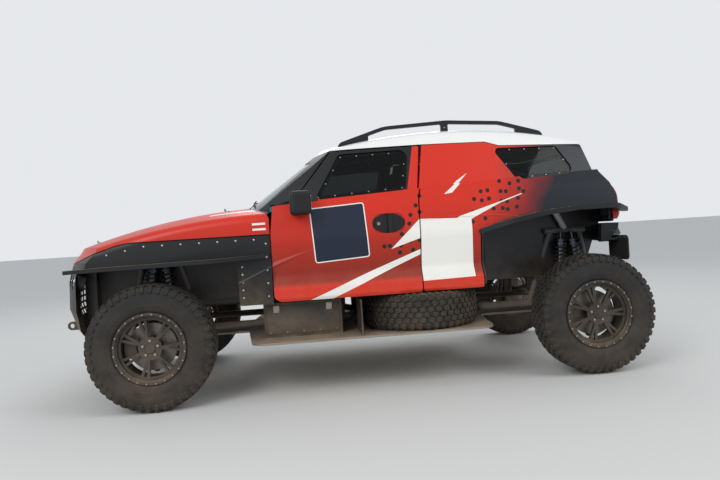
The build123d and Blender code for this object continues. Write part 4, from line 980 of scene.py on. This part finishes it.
# Mirrors: a composite shell on each door with a flat silvered glass, edged in rubber, that faces the crew.
# The glass is float glass silvered on its back, glued to the shell.
dress(black_gelcoat, "mirror_left", "mirror_right")
silvered, tree, shader, coords = new_material("silvered_mirror_glass",
                                              {"Base Color": linear("#D5DADC"), "Metallic": 1})
hazed(tree, shader, coords, 30, 5, 0.4, 0.14)
for side, hand in HANDS:
    bm, rim = bmesh.new(), bmesh.new()
    block(bm, (-0.2525, side * 0.905, 1.246), (0.004, 0.118, 0.1), edge=0.0015)
    block(rim, (-0.2535, side * 0.905, 1.246), (0.004, 0.128, 0.11), edge=0.0015)
    new_piece("mirror_glass_" + hand, bm, silvered, "door_" + hand)
    new_piece("mirror_edge_" + hand, rim, boot_rubber, "door_" + hand)

# Lamps: black moulded housings in the nose, each with two silvered bowls under domed clear lenses.
# The tail has an upright red strip in each corner, moulded inside into small prisms.
dress(black_gelcoat, "headlamps")
reflector = surface("aluminised_reflector", "#DADCDD", None, ("TexVoronoi", {"Scale": 110}),
                    (0.5, 0.002), {"Metallic": 1, "Roughness": 0.12})
lens, tree, shader, coords = new_material(
    "clear_polycarbonate_lens", {"Base Color": linear("#EDF1F3"), "Transmission Weight": 1, "IOR": 1.3})
hazed(tree, shader, coords, 40, 5, 0.4, 0.16)
bowls, lenses = bmesh.new(), bmesh.new()
for side in (-1, 1):
    for y, radius in ((0.655, 0.046), (0.548, 0.038)):
        spot, normal = on_skin("headlamps", (-3, side * y, 0.825), (1, 0, 0))
        way = (normal + Vector((-1, 0, 0))).normalized()
        bowl = ((0.001, 0), (0.001, 0.008), (0.009, 0.011), (0.009, 0.013), (0.004, 0.016),
                (0.009, radius * 0.75), (0.02, radius * 0.97), (0.018, radius * 0.98), (0.002, radius * 0.8),
                (0, 0.012), (0, 0))
        dome = ((0.022, 0), (0.021, radius * 0.5), (0.018, radius * 0.99), (0.0205, radius * 0.99),
                (0.0235, radius * 0.5), (0.0245, 0))
        turned(bowls, bowl, spot, way, steps=36)
        turned(lenses, dome, spot, way, steps=36)
new_piece("lamp_bowls", bowls, reflector)
new_piece("lamp_lenses", lenses, lens)
lamp_red = surface("red_prismatic_lamp_cover", "#C8190F #6E0B08", (0.14, 0.3, 0.8, 1.2),
                   ("TexVoronoi", {"Scale": 130}), (0.3, 0.002))
dress(lamp_red, "tail_lamps")
COVER_FOOT, COVER_INNER, COVER_SIZE = 1.03, 0.686, (0.102, 0.236)
covers = bmesh.new()
for side in (-1, 1):
    sheet = bmesh.ops.create_grid(covers, x_segments=6, y_segments=14, size=0.5)["verts"]
    for vert in sheet:
        across, up = vert.co.x + 0.5, vert.co.y + 0.5
        start = (3, side * (COVER_INNER + COVER_SIZE[0] * across), COVER_FOOT + COVER_SIZE[1] * up)
        spot, normal = on_skin("tail_lamps", start, (-1, 0, 0))
        swell = 0.003 + 0.014 * min(1, 6 * across, 6 * (1 - across)) * min(1, 8 * up, 8 * (1 - up))
        vert.co = (spot or Vector((1.86, side * 0.75, 1.15))) + (normal or Vector((1, 0, 0))) * swell
    bmesh.ops.solidify(covers, geom=linked(sheet, "link_faces"), thickness=0.004)
new_piece("tail_lamp_covers", covers, lamp_red)

# Locker lids and flap plates: folded aluminium painted black, on the side boxes and over the mud flaps.
# Screws hold them in rows, and two latches close each lid.
lids, latches = bmesh.new(), bmesh.new()
for side in (-1, 1):
    block(lids, (-0.345, side * 0.7225, 0.487), (0.48, 0.005, 0.19), edge=0.001)
    block(lids, (1.8255, side * 0.831, 0.893), (0.003, 0.24, 0.022), edge=0.0008)
    for x in (-0.52, -0.17):
        block(latches, (x, side * 0.727, 0.56), (0.04, 0.008, 0.05), edge=0.002)
    for count in range(5):
        flap_screw = Vector((1.824, side * (0.735 + count * 0.048), 0.893))
        lid_screw = Vector((-0.565 + count * 0.11, side * 0.725, 0.404))
        screw(latches, flap_screw, Vector((-1, 0, 0)), radius=0.005)
        screw(latches, lid_screw, Vector((0, side, 0)), radius=0.005)
new_piece("locker_lids", lids, link_paint)
new_piece("locker_latches", latches, bolt_steel)
